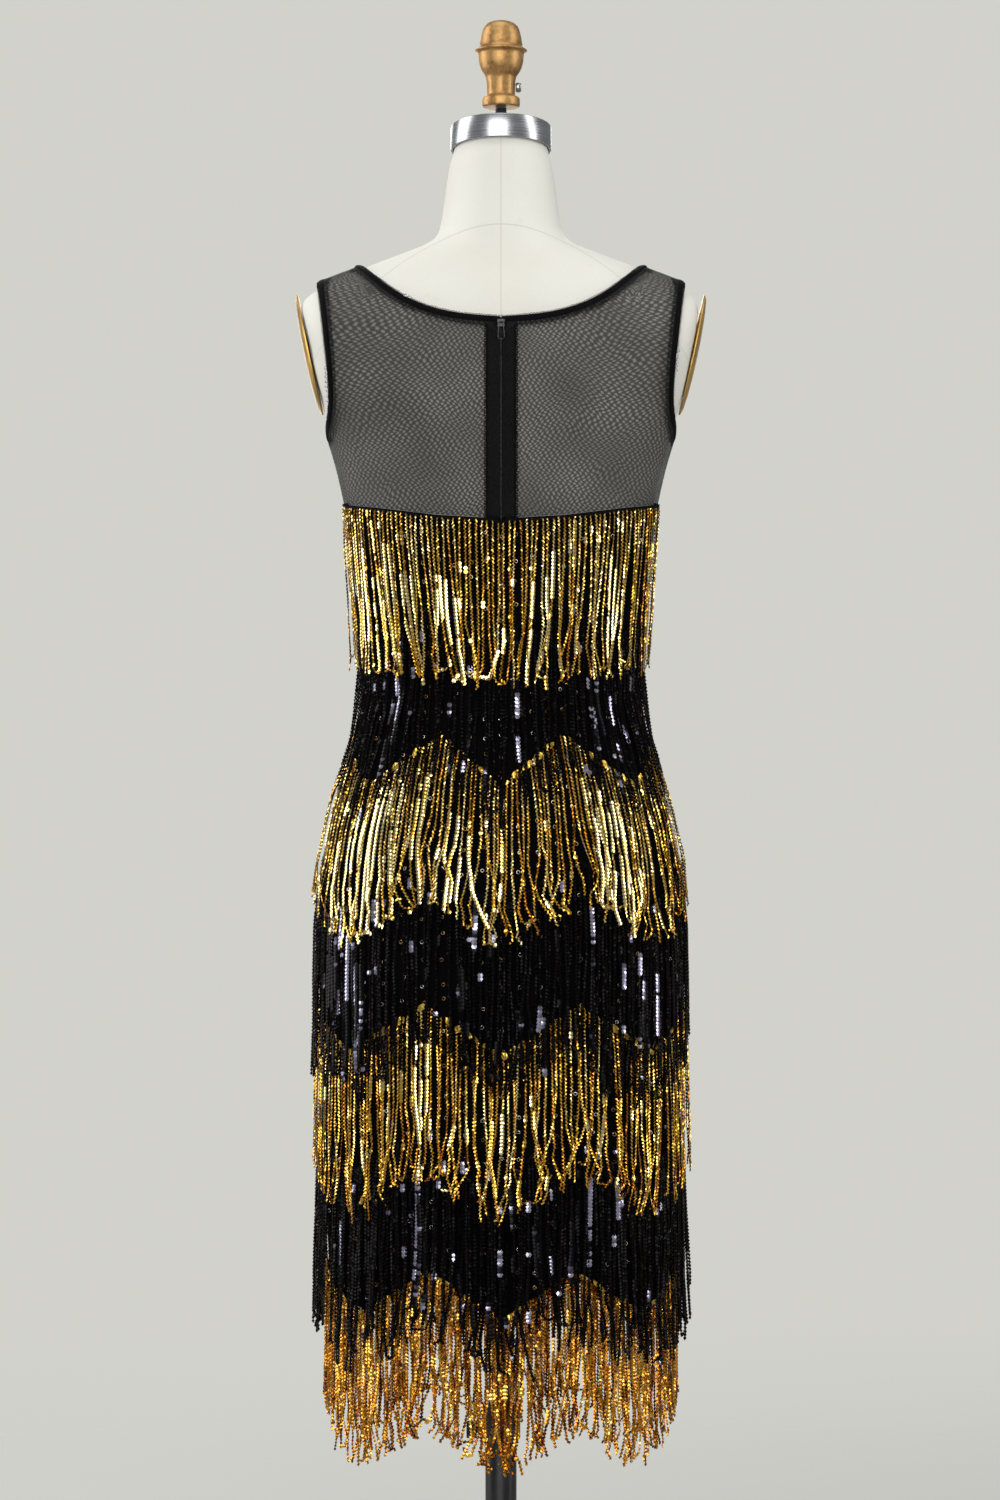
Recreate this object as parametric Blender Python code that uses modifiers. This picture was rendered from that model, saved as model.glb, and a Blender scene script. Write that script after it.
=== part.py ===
"""A fringed flapper dress on a limbless dress form, which stands on a pole and a round base.

Metres, +Z up. The wearer's front faces -Y, the zip and the back face +Y, and the wearer's left is +X.
The origin is the centre of the base's underside.
"""

import math

import bmesh
import bpy
from mathutils import Matrix, Vector

# Cloth and fringe
CLOTH_WALL = 0.0015
SEAM_GAP = 0.0003
COLUMNS = 48
VALLEYS = 6
BUST_STEP = 4
BINDING_WIDTH = 0.007
BINDING_PROUD = 0.0005
BINDING_GAP = 0.0004
TAPE_HEIGHT = 0.008
TAPE_WALL = 0.0018
TAPE_GAP = 0.0005
LOCK_WALL = 0.0018
LOCK_SPREAD = 0.22

# Neckline, armholes and zip
NECK_HALF_WIDTH = 0.130
SHOULDER_HALF_WIDTH = 0.166
UNDERARM_HEIGHT = 1.318
BACK_NECK_HEIGHT = 1.413
FRONT_NECK_HEIGHT = 1.372
NECK_CURVE = 3.0
YOKE_ACROSS = 9
NECK_STEPS = 6
SIDE_STEPS = 3
ARM_STEPS = 9
YOKE_DOWN = SIDE_STEPS + ARM_STEPS
NECK_GRADE = 1.5
ARM_GRADE = 1.2
ZIP_TAPE_WIDTH = 0.0135
ZIP_TAPE_WALL = 0.0010
ZIP_TAPE_GAP = 0.0005
ZIP_TOP_HEIGHT = 1.4105
ZIP_END_HEIGHT = 0.965
SLIDER_HEIGHT = 1.4070
SLIDER_WALL = 0.0022
SLIDER_HALF_LENGTH = 0.0036
PULL_LENGTH = 0.017
PULL_HALF_WIDTH = 0.0023
PULL_WIRE = 0.0006

# Dress form
FORM_BOTTOM = 0.655
NECK_TOP = 1.600
FORM_SEGMENTS = 32
FORM_HEIGHTS = (
    FORM_BOTTOM, 0.760, 0.870, 0.930, 0.990, 1.035, 1.080, 1.135, 1.190, 1.240, 1.285, 1.325, 1.360,
    1.395, 1.420, 1.438, 1.450, 1.461, 1.472, 1.483, 1.492, 1.500, 1.511, 1.533, 1.571, 1.5765,
    NECK_TOP,
)
NECK_TILT = math.radians(7)
PLATE_TOP = 1.447
PLATE_BOTTOM = 1.335
PLATE_TOP_X = 0.1885
PLATE_SLOPE = 0.21
PLATE_HALF_DEPTH = 0.043
PLATE_DOME = 0.006
NECK_RING_OUTER = 0.0470
NECK_RING_INNER = 0.0450
NECK_RING_HEIGHT = 0.022
ROD_RADIUS = 0.0062
KNOB_FOOT = 1.6230
KNOB_STEM_RADIUS = 0.0133

# Stand
BASE_RADIUS = 0.215
BASE_THICKNESS = 0.012
BASE_TOP = 0.034
OUTER_POLE_RADIUS = 0.0145
OUTER_POLE_BORE = 0.0122
OUTER_POLE_TOP = 0.405
INNER_POLE_RADIUS = 0.0115
INNER_POLE_BOTTOM = 0.165
COLLAR_RADIUS = 0.0180
COLLAR_BOTTOM = 0.382
COLLAR_TOP = 0.4155
CLAMP_HEIGHT = 0.3905

# The figure under the dress at rising heights: half width, depth behind and before the middle, the
# middle's shift back, how blunt the section is (2 is an ellipse), and how far the cloth stands off.
FIGURE_COLUMNS = ("height", "side", "back", "front", "shift", "blunt", "ease")
FIGURE = (
    (0.480, 0.1530, 0.100, 0.096, 0.000, 2.00, 0.0022),
    (0.560, 0.1570, 0.104, 0.099, 0.000, 2.00, 0.0022),
    (0.655, 0.1625, 0.110, 0.104, 0.000, 2.00, 0.0022),
    (0.760, 0.1650, 0.116, 0.106, 0.000, 2.00, 0.0022),
    (0.870, 0.1650, 0.121, 0.104, 0.000, 2.00, 0.0022),
    (0.930, 0.1590, 0.116, 0.102, 0.000, 2.00, 0.0022),
    (0.990, 0.1460, 0.104, 0.100, 0.000, 2.00, 0.0024),
    (1.040, 0.1300, 0.093, 0.095, 0.000, 2.00, 0.0026),
    (1.080, 0.1215, 0.089, 0.094, 0.000, 2.00, 0.0028),
    (1.130, 0.1245, 0.090, 0.101, 0.000, 2.00, 0.0028),
    (1.190, 0.1330, 0.094, 0.122, 0.000, 2.00, 0.0026),
    (1.235, 0.1395, 0.097, 0.137, 0.000, 2.00, 0.0022),
    (1.280, 0.1480, 0.099, 0.134, 0.000, 2.08, 0.0027),
    (1.318, 0.1590, 0.100, 0.121, 0.000, 2.20, 0.0034),
    (1.345, 0.1740, 0.100, 0.110, 0.000, 2.35, 0.0030),
    (1.372, 0.1900, 0.098, 0.099, 0.000, 2.45, 0.0024),
    (1.395, 0.1985, 0.095, 0.089, 0.000, 2.50, 0.0024),
    (1.418, 0.1990, 0.089, 0.077, 0.000, 2.50, 0.0026),
    (1.440, 0.1890, 0.080, 0.064, 0.000, 2.40, 0.0038),
    (1.450, 0.1720, 0.075, 0.058, 0.000, 2.32, 0.0048),
    (1.461, 0.1520, 0.069, 0.053, 0.000, 2.22, 0.0026),
    (1.472, 0.1240, 0.064, 0.050, 0.000, 2.12, 0.0020),
    (1.483, 0.0950, 0.060, 0.050, 0.000, 2.04, 0.0020),
    (1.492, 0.0700, 0.057, 0.050, 0.000, 2.00, 0.0020),
    (1.500, 0.0590, 0.055, 0.050, 0.000, 2.00, 0.0020),
    (1.511, 0.0562, 0.053, 0.049, -0.001, 2.00, 0.0020),
    (1.533, 0.0528, 0.050, 0.048, -0.004, 2.00, 0.0020),
    (1.571, 0.0482, 0.047, 0.047, -0.008, 2.00, 0.0020),
    (1.5765, 0.0440, 0.043, 0.043, -0.009, 2.00, 0.0020),
    (1.610, 0.0430, 0.042, 0.042, -0.012, 2.00, 0.0020),
)

# The armhole's seam as seen from behind, from the underarm up to the shoulder: height, half width.
ARMHOLE = (
    (1.318, 0.1590),
    (1.326, 0.1562),
    (1.340, 0.1535),
    (1.365, 0.1548),
    (1.395, 0.1586),
    (1.425, 0.1620),
    (1.450, 0.1655),
)

# Fringe tiers from the top: heights of the tape's lowest and highest points, the strands' length, how
# far the tips stand off, how far the strands hang out towards the plumb line from the widest place
# above them (1 is all the way), steps along a lock, and whether the tape parts at the zip.
TIER_COLUMNS = ("name", "colour", "valley", "crest", "length", "sway", "droop", "steps", "parts")
TIERS = (
    ("fringe_gold_bust", "gold", 1.232, 1.252, 0.150, 0.0045, 0.65, (0.15, 0.3, 0.65, 1.0), True),
    ("fringe_black_waist", "black", 1.123, 1.172, 0.156, 0.0050, 0.40, (0.25, 1.0), True),
    ("fringe_gold_hip", "gold", 0.993, 1.039, 0.152, 0.0070, 0.85, (0.3, 0.65, 1.0), True),
    ("fringe_black_hip", "black", 0.882, 0.926, 0.154, 0.0050, 0.85, (0.25, 1.0), False),
    ("fringe_gold_thigh", "gold", 0.751, 0.797, 0.157, 0.0060, 0.85, (0.25, 1.0), False),
    ("fringe_black_hem", "black", 0.641, 0.687, 0.166, 0.0040, 0.85, (0.25, 1.0), False),
    ("fringe_gold_hem", "gold", 0.512, 0.555, 0.145, 0.0020, 0.85, (0.25, 1.0), False),
)
CLOTH_STEPS = (3, 2, 2, 2, 1, 1)
BUST_TOP_BACK = 1.232
BUST_TOP_SIDE = 1.2527
BUST_TOP_FRONT = 1.285

# The cast knob's outline, down from its top: radius and height above the knob's foot.
KNOB_PROFILE = (
    (0.0000, 0.0810),
    (0.0095, 0.0806),
    (0.0155, 0.0785),
    (0.0188, 0.0735),
    (0.0201, 0.0640),
    (0.0212, 0.0575),
    (0.0245, 0.0540),
    (0.0240, 0.0515),
    (0.0212, 0.0505),
    (0.0208, 0.0430),
    (0.0190, 0.0370),
    (0.0148, 0.0300),
    (KNOB_STEM_RADIUS, 0.0280),
    (KNOB_STEM_RADIUS, 0.0105),
    (0.0175, 0.0090),
    (0.0175, 0.0010),
    (0.0165, 0.0000),
    (0.0000, 0.0000),
)


# ---------------------------------------------------------------- small helpers

def clear_scene():
    for thing in list(bpy.data.objects):
        bpy.data.objects.remove(thing, do_unlink=True)


def smooth_row(table, height):
    """The table's row at this height, on a smooth curve through its rows."""
    last = len(table) - 2
    index = 0
    while index < last and table[index + 1][0] <= height:
        index += 1
    low = table[index]
    high = table[index + 1]
    before = table[max(index - 1, 0)]
    after = table[min(index + 2, last + 1)]
    span = high[0] - low[0]
    f = min(1.0, max(0.0, (height - low[0]) / span))
    values = []
    for k in range(1, len(low)):
        slope_low = (high[k] - before[k]) / (high[0] - before[0])
        slope_high = (after[k] - low[k]) / (after[0] - low[0])
        values.append(
            low[k] * (2 * f**3 - 3 * f**2 + 1)
            + high[k] * (3 * f**2 - 2 * f**3)
            + span * slope_low * (f**3 - 2 * f**2 + f)
            + span * slope_high * (f**3 - f**2)
        )
    return values


def figure_at(height):
    """The figure's values at this height, by column."""
    return dict(zip(FIGURE_COLUMNS[1:], smooth_row(FIGURE, height)))


def figure_point(angle, height):
    """A point of the figure: angle 0 is centre back, a quarter turn is the left side."""
    row = figure_at(height)
    across = math.sin(angle)
    along = math.cos(angle)
    depth = row["back"] if along > 0 else row["front"]
    power = 2 / row["blunt"]
    return Vector((
        row["side"] * math.copysign(abs(across) ** power, across),
        row["shift"] + depth * math.copysign(abs(along) ** power, along),
        height,
    ))


def figure_normal(angle, height):
    turn = 0.02
    rise = 0.002
    around = figure_point(angle + turn, height) - figure_point(angle - turn, height)
    up = figure_point(angle, height + rise) - figure_point(angle, height - rise)
    return up.cross(around).normalized()


def skin(angle, height, out=0.0):
    """A point of the cloth's outer face, moved out."""
    ease = figure_at(height)["ease"]
    return figure_point(angle, height) + figure_normal(angle, height) * (ease + CLOTH_WALL + out)


def resting(point):
    """The point moved along the figure's normal to the cloth's outer face, and that normal."""
    row = figure_at(point.z)
    forward = point.y - row["shift"]
    depth = row["back"] if forward > 0 else row["front"]
    across = abs(point.x / row["side"]) ** (row["blunt"] / 2)
    along = math.copysign(abs(forward / depth) ** (row["blunt"] / 2), forward)
    angle = math.atan2(math.copysign(across, point.x), along)
    normal = figure_normal(angle, point.z)
    stand_off = (point - figure_point(angle, point.z)).dot(normal)
    return point + normal * (row["ease"] + CLOTH_WALL - stand_off), normal


def column_angle(column):
    """The angle of a cloth column: evenly spaced round the body's section, not round the circle."""
    turn = 2 * math.pi * column / COLUMNS
    return turn - 0.12 * math.sin(2 * turn)


def angle_at(across, height):
    """The angle at which the figure is this wide, on the left side of the back."""
    row = figure_at(height)
    return math.asin(min(1.0, across / row["side"]) ** (row["blunt"] / 2))


def ridge_height(across):
    """The height of the shoulder's ridge this far from the middle."""
    low = PLATE_TOP - 0.01
    high = 1.49
    for _ in range(40):
        middle = (low + high) / 2
        if figure_at(middle)["side"] > across:
            low = middle
        else:
            high = middle
    return low


def mix(a, b, share):
    return a + (b - a) * share


def runs(points, place):
    """How far along the placed line each of its (across, height) pairs lies, as shares of it."""
    placed = [place(*point)[0] for point in points]
    run = [0.0]
    for a, b in zip(placed, placed[1:]):
        run.append(run[-1] + (b - a).length)
    return [distance / run[-1] for distance in run]


def resampled(points, shares, place):
    """The line's (across, height) pairs at these shares of its placed length."""
    run = runs(points, place)
    result = []
    for goal in shares:
        k = 0
        while k < len(run) - 2 and run[k + 1] < goal:
            k += 1
        share = (goal - run[k]) / max(run[k + 1] - run[k], 1e-9)
        result.append(tuple(mix(a, b, share) for a, b in zip(points[k], points[k + 1])))
    return result


def evenly(points, count, place, grade=1.0):
    """The line in count steps, even or closer together towards its end."""
    return resampled(points, [1 - (1 - step / count) ** grade for step in range(count + 1)], place)


# ---------------------------------------------------------------- objects and materials

def make_material(name, colour, roughness, metallic=0.0):
    material = bpy.data.materials.new(name)
    material.use_nodes = True
    shader = material.node_tree.nodes["Principled BSDF"]
    shader.inputs["Base Color"].default_value = (*colour, 1)
    shader.inputs["Roughness"].default_value = roughness
    shader.inputs["Metallic"].default_value = metallic
    material.diffuse_color = (*colour, 1)
    return material


def add_object(name, mesh, material, smooth=True):
    mesh.materials.append(material)
    mesh.shade_smooth() if smooth else mesh.shade_flat()
    if smooth:
        mesh.set_sharp_from_angle(angle=math.radians(40))
    thing = bpy.data.objects.new(name, mesh)
    dress_collection.objects.link(thing)
    return thing


def object_from_bmesh(name, bm, material, smooth=True):
    mesh = bpy.data.meshes.new(name)
    bm.to_mesh(mesh)
    bm.free()
    return add_object(name, mesh, material, smooth)


def cloth_panel(name, grid, material):
    """A wall of cloth from a grid of (outer point, normal) pairs."""
    rows = len(grid)
    columns = len(grid[0])
    bm = bmesh.new()
    bmesh.ops.create_grid(bm, x_segments=columns - 1, y_segments=rows - 1, size=1)
    bm.verts.ensure_lookup_table()
    place = bm.verts.layers.int.new("place")
    for vert in bm.verts:
        vert[place] = vert.index
    inner = bmesh.ops.extrude_face_region(bm, geom=bm.faces[:])["geom"]
    pairs = [pair for row in grid for pair in row]
    for vert in bm.verts:
        vert.co = pairs[vert[place]][0]
    for vert in inner:
        if isinstance(vert, bmesh.types.BMVert):
            point, normal = pairs[vert[place]]
            vert.co = point - normal * CLOTH_WALL
    bmesh.ops.recalc_face_normals(bm, faces=bm.faces)
    if bm.calc_volume(signed=True) < 0:
        bmesh.ops.reverse_faces(bm, faces=bm.faces)
    return object_from_bmesh(name, bm, material)


def loft(name, sections, material, closed=False, smooth=True):
    """One body through sections of equal count: capped at both ends, or closed round."""
    bm = bmesh.new()
    rings = [[bm.verts.new(point) for point in section] for section in sections]
    sides = len(rings[0])
    pairs = list(zip(rings, rings[1:]))
    if closed:
        pairs.append((rings[-1], rings[0]))
    for first, second in pairs:
        for k in range(sides):
            after = (k + 1) % sides
            bm.faces.new((first[k], first[after], second[after], second[k]))
    if not closed:
        bm.faces.new(rings[0])
        bm.faces.new(rings[-1])
    bmesh.ops.recalc_face_normals(bm, faces=bm.faces)
    return object_from_bmesh(name, bm, material, smooth)


def turned(name, profile, material, location=(0, 0, 0), rotation=(0, 0, 0), segments=32, ring=False):
    """A profile of (radius, height) pairs, down its outer side, turned about Z. A ring's profile is
    closed, and any other starts and ends on the axis."""
    mesh = bpy.data.meshes.new(name)
    edges = [(k, k + 1) for k in range(len(profile) - 1)]
    if ring:
        edges.append((len(profile) - 1, 0))
    mesh.from_pydata([(radius, 0, height) for radius, height in profile], edges, [])
    thing = add_object(name, mesh, material)
    screw = thing.modifiers.new("Turn", "SCREW")
    screw.axis = "Z"
    screw.steps = segments
    screw.render_steps = segments
    screw.use_merge_vertices = True
    screw.merge_threshold = 1e-6
    screw.use_smooth_shade = True
    thing.location = location
    thing.rotation_euler = rotation
    return thing


def pipe_profile(inner, outer, low, high):
    return ((outer, high), (outer, low), (inner, low), (inner, high))


def rod_profile(radius, low, high, edge=0.0):
    if not edge:
        return ((0, high), (radius, high), (radius, low), (0, low))
    return (
        (0, high),
        (radius - edge, high),
        (radius, high - edge),
        (radius, low + edge),
        (radius - edge, low),
        (0, low),
    )


# ---------------------------------------------------------------- the cloth's lines round the body

def bust_line(column):
    """The bust tape's top, straight between every fourth column: lowest at centre back and highest
    at centre front."""
    def bend(at):
        along = math.cos(2 * math.pi * at / COLUMNS)
        end = BUST_TOP_BACK if along > 0 else BUST_TOP_FRONT
        return mix(BUST_TOP_SIDE, end, abs(along) ** 1.5)

    low = math.floor(column / BUST_STEP) * BUST_STEP
    return mix(bend(low), bend(low + BUST_STEP), (column - low) / BUST_STEP)


def zigzag(column, valley, crest):
    """A line that falls to a point at centre back and five more times round the body."""
    wave = (column * VALLEYS / COLUMNS) % 1.0
    return mix(valley, crest, 1 - abs(2 * wave - 1))


def tier_line(index, column):
    if index == 0:
        return bust_line(column)
    tier = dict(zip(TIER_COLUMNS, TIERS[index]))
    return zigzag(column, tier["valley"], tier["crest"])


def cloth_lines(column):
    """The heights of the body cloth's rows in one column, from the bust seam down to the hem."""
    tops = [tier_line(index, column) for index in range(len(TIERS))]
    heights = [tops[0]]
    for above, below, steps in zip(tops, tops[1:], CLOTH_STEPS):
        heights += [mix(above, below, step / steps) for step in range(1, steps + 1)]
    heights.append(tops[-1] - TAPE_HEIGHT)
    return heights


def build_cloth_columns():
    """For each column, its rows from the top: (height, outer point, normal)."""
    columns = []
    for column in range(COLUMNS):
        angle = column_angle(column)
        columns.append([
            (height, skin(angle, height), figure_normal(angle, height))
            for height in cloth_lines(column)
        ])
    return columns


def cloth_in_column(column, height, out):
    rows = cloth_columns[column % COLUMNS]
    if height <= rows[-1][0]:
        _, point, normal = rows[-1]
        level = Vector((normal.x, normal.y, 0)).normalized()
        return Vector((point.x, point.y, height)) + level * out
    k = 0
    while k < len(rows) - 2 and rows[k + 1][0] > height:
        k += 1
    share = (rows[k][0] - height) / (rows[k][0] - rows[k + 1][0])
    point = rows[k][1].lerp(rows[k + 1][1], share)
    normal = rows[k][2].lerp(rows[k + 1][2], share)
    return point + normal * out


def cloth_at(column, height, out):
    """A point that stands off the cloth's flat facets, or hangs straight down below the hem. The
    column may be a fraction."""
    low = math.floor(column)
    share = column - low
    first = cloth_in_column(low, height, out)
    if share < 1e-9:
        return first
    return first.lerp(cloth_in_column(low + 1, height, out), share)


def hanging(column, root, height, out, droop):
    """Like cloth_at, but drawn out towards the plumb line from the widest place above."""
    point = cloth_at(column, height, out)
    steps = 6
    reach = max(
        cloth_at(column, mix(height, root, k / steps), 0).xy.length for k in range(steps + 1)
    )
    here = cloth_at(column, height, 0).xy.length
    scale = 1 + droop * (reach / here - 1)
    return Vector((point.x * scale, point.y * scale, point.z))


# ---------------------------------------------------------------- dress: body, yoke, bindings

def draw_in(pair, towards):
    """A (point, normal) pair moved half a seam gap towards another."""
    step = (towards[0] - pair[0]).normalized() * (SEAM_GAP / 2)
    return pair[0] + step, pair[1]


def body_panel(name, first, last):
    columns = range(first, last + 1)
    rows = len(cloth_columns[0])
    grid = [[cloth_columns[column % COLUMNS][row][1:] for column in columns] for row in range(rows)]
    grid[0] = [draw_in(a, b) for a, b in zip(grid[0], grid[1])]
    for row in grid:
        row[0] = draw_in(row[0], row[1])
        row[-1] = draw_in(row[-1], row[-2])
    cloth_panel(name, grid, black_cloth)


def build_body():
    quarter = COLUMNS // 4
    body_panel("body_back_left", 0, quarter)
    body_panel("body_front", quarter, 3 * quarter)
    body_panel("body_back_right", 3 * quarter, COLUMNS)


def yoke_place(front):
    """The function that places (across, height) on the left back or the left front."""
    def place(across, height):
        angle = angle_at(across, height)
        if front:
            angle = math.pi - angle
        return skin(angle, height), figure_normal(angle, height)
    return place


def yoke_quarter(front):
    """Points of the left half of the back or front yoke, rows from the bust seam up, columns from
    the middle to the side."""
    place = yoke_place(front)
    neck_low = FRONT_NECK_HEIGHT if front else BACK_NECK_HEIGHT
    neck_high = ridge_height(NECK_HALF_WIDTH)
    fine = 60

    neckline = []
    for k in range(fine + 1):
        across = NECK_HALF_WIDTH * math.sin(math.pi / 2 * k / fine)
        height = mix(neck_low, neck_high, (across / NECK_HALF_WIDTH) ** NECK_CURVE)
        neckline.append((across, height))
    shoulder = []
    for k in range(fine + 1):
        across = mix(NECK_HALF_WIDTH, SHOULDER_HALF_WIDTH, k / fine)
        shoulder.append((across, ridge_height(across)))
    armhole = []
    shoulder_end = ridge_height(SHOULDER_HALF_WIDTH)
    for k in range(2 * fine + 1):
        height = mix(UNDERARM_HEIGHT, shoulder_end, k / (2 * fine))
        armhole.append((smooth_row(ARMHOLE, height)[0], height))
    armhole[0] = (figure_at(UNDERARM_HEIGHT)["side"], UNDERARM_HEIGHT)
    armhole[-1] = (SHOULDER_HALF_WIDTH, shoulder_end)

    top = evenly(neckline, NECK_STEPS, place, NECK_GRADE)
    top += evenly(shoulder, YOKE_ACROSS - NECK_STEPS, place)[1:]
    bottom = []
    for k in range(YOKE_ACROSS + 1):
        column = COLUMNS / 4 * k / YOKE_ACROSS
        height = bust_line(COLUMNS / 2 - column if front else column)
        row = figure_at(height)
        across = row["side"] * math.sin(column_angle(column)) ** (2 / row["blunt"])
        bottom.append((across, height))
    seam = [
        (figure_at(height)["side"], height)
        for height in (mix(BUST_TOP_SIDE, UNDERARM_HEIGHT, k / 8) for k in range(9))
    ]
    right = evenly(seam, SIDE_STEPS, place) + evenly(armhole, ARM_STEPS, place, ARM_GRADE)[1:]
    right_runs = runs(right, place)
    left = [
        (0.0, mix(bottom[0][1], top[0][1], k / YOKE_DOWN)) for k in range(YOKE_DOWN + 1)
    ]

    columns = []
    for i in range(YOKE_ACROSS + 1):
        p = i / YOKE_ACROSS
        line = []
        for k in range(YOKE_DOWN * 8 + 1):
            q = k / (YOKE_DOWN * 8)
            at = min(int(q * YOKE_DOWN), YOKE_DOWN - 1)
            share = q * YOKE_DOWN - at
            pair = []
            for axis in (0, 1):
                l = mix(left[at][axis], left[at + 1][axis], share)
                r = mix(right[at][axis], right[at + 1][axis], share)
                value = mix(bottom[i][axis], top[i][axis], q) + mix(l, r, p)
                value -= mix(
                    mix(bottom[0][axis], bottom[-1][axis], p), mix(top[0][axis], top[-1][axis], p), q
                )
                pair.append(value)
            line.append(tuple(pair))
        shares = [mix(j / YOKE_DOWN, right_runs[j], p) for j in range(YOKE_DOWN + 1)]
        columns.append(resampled(line, shares, place))
    columns[-1] = right
    return [[place(*columns[i][j]) for i in range(YOKE_ACROSS + 1)] for j in range(YOKE_DOWN + 1)]


def mirrored(points):
    return [Vector((-point.x, point.y, point.z)) for point in points]


def mirrored_row(row):
    return [tuple(mirrored(pair)) for pair in row]


def build_yoke():
    """The back halves and the front. It returns the left quarters' points for the bindings."""
    back = yoke_quarter(front=False)
    front = yoke_quarter(front=True)

    def seamed(quarter, middle_seam):
        grid = [list(row) for row in quarter]
        for row in grid[:SIDE_STEPS + 1]:
            row[-1] = draw_in(row[-1], row[-2])
        for across in range(NECK_STEPS, YOKE_ACROSS + 1):
            grid[-1][across] = draw_in(grid[-1][across], grid[-2][across])
        grid[0] = [draw_in(a, b) for a, b in zip(grid[0], grid[1])]
        if middle_seam:
            for row in grid:
                row[0] = draw_in(row[0], row[1])
        return grid

    left = seamed(back, True)
    cloth_panel("yoke_back_left", left, sheer_mesh)
    cloth_panel("yoke_back_right", [mirrored_row(row) for row in left], sheer_mesh)
    whole = [row[:0:-1] + mirrored_row(row) for row in seamed(front, False)]
    cloth_panel("yoke_front", whole, sheer_mesh)
    return back, front


def binding_sections(edge, inside):
    """Four-cornered sections of a binding square to an edge, on the side away from the inside
    points. The edge starts one point earlier than the inside, and ends one later."""
    sections = []
    for k, (inner, _) in enumerate(inside):
        before = edge[k][0]
        point, normal = edge[k + 1]
        after = edge[k + 2][0]
        first = (point - before).normalized()
        along = (first + (after - point).normalized()).normalized()
        away = normal.cross(along).normalized()
        if away.dot(point - inner) < 0:
            away.negate()
        near = point + away * (BINDING_GAP / along.dot(first))
        far, far_normal = resting(near + away * BINDING_WIDTH)
        far_normal = (far_normal + normal).normalized()
        sections.append((
            near + normal * BINDING_PROUD,
            far + far_normal * BINDING_PROUD,
            far - far_normal * CLOTH_WALL,
            near - normal * CLOTH_WALL,
        ))
    return sections


def build_bindings(back, front):
    """The neck binding, from the zip round the shoulders and the front, and one round each armhole."""
    back_edge = back[-1][:NECK_STEPS + 1]
    front_edge = front[-1][:NECK_STEPS + 1]
    edge = back_edge + front_edge[-2::-1]
    inside = back[-2][:NECK_STEPS + 1] + front[-2][NECK_STEPS - 1::-1]
    inside[NECK_STEPS] = back[-1][NECK_STEPS + 1]
    ends = mirrored_row((edge[1], edge[-2]))
    half = binding_sections([ends[0]] + edge + [ends[1]], inside)
    other = [tuple(mirrored(section)) for section in half[-2::-1]]
    gap = Vector((SEAM_GAP / 2, 0, 0))
    half[0] = tuple(point + gap for point in half[0])
    other[-1] = tuple(point - gap for point in other[-1])
    loft("neck_binding", half + other, black_binding, smooth=False)

    loop = back[SIDE_STEPS:] + front[-2:SIDE_STEPS:-1]
    edge = [row[-1] for row in loop]
    inside = [row[-2] for row in loop]
    inside[0] = back[SIDE_STEPS - 1][-1]
    left = binding_sections([edge[-1]] + edge + [edge[0]], inside)
    loft("armhole_binding_left", left, black_binding, closed=True, smooth=False)
    right = [tuple(mirrored(section)) for section in left]
    loft("armhole_binding_right", right, black_binding, closed=True, smooth=False)


# ---------------------------------------------------------------- zip

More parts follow.
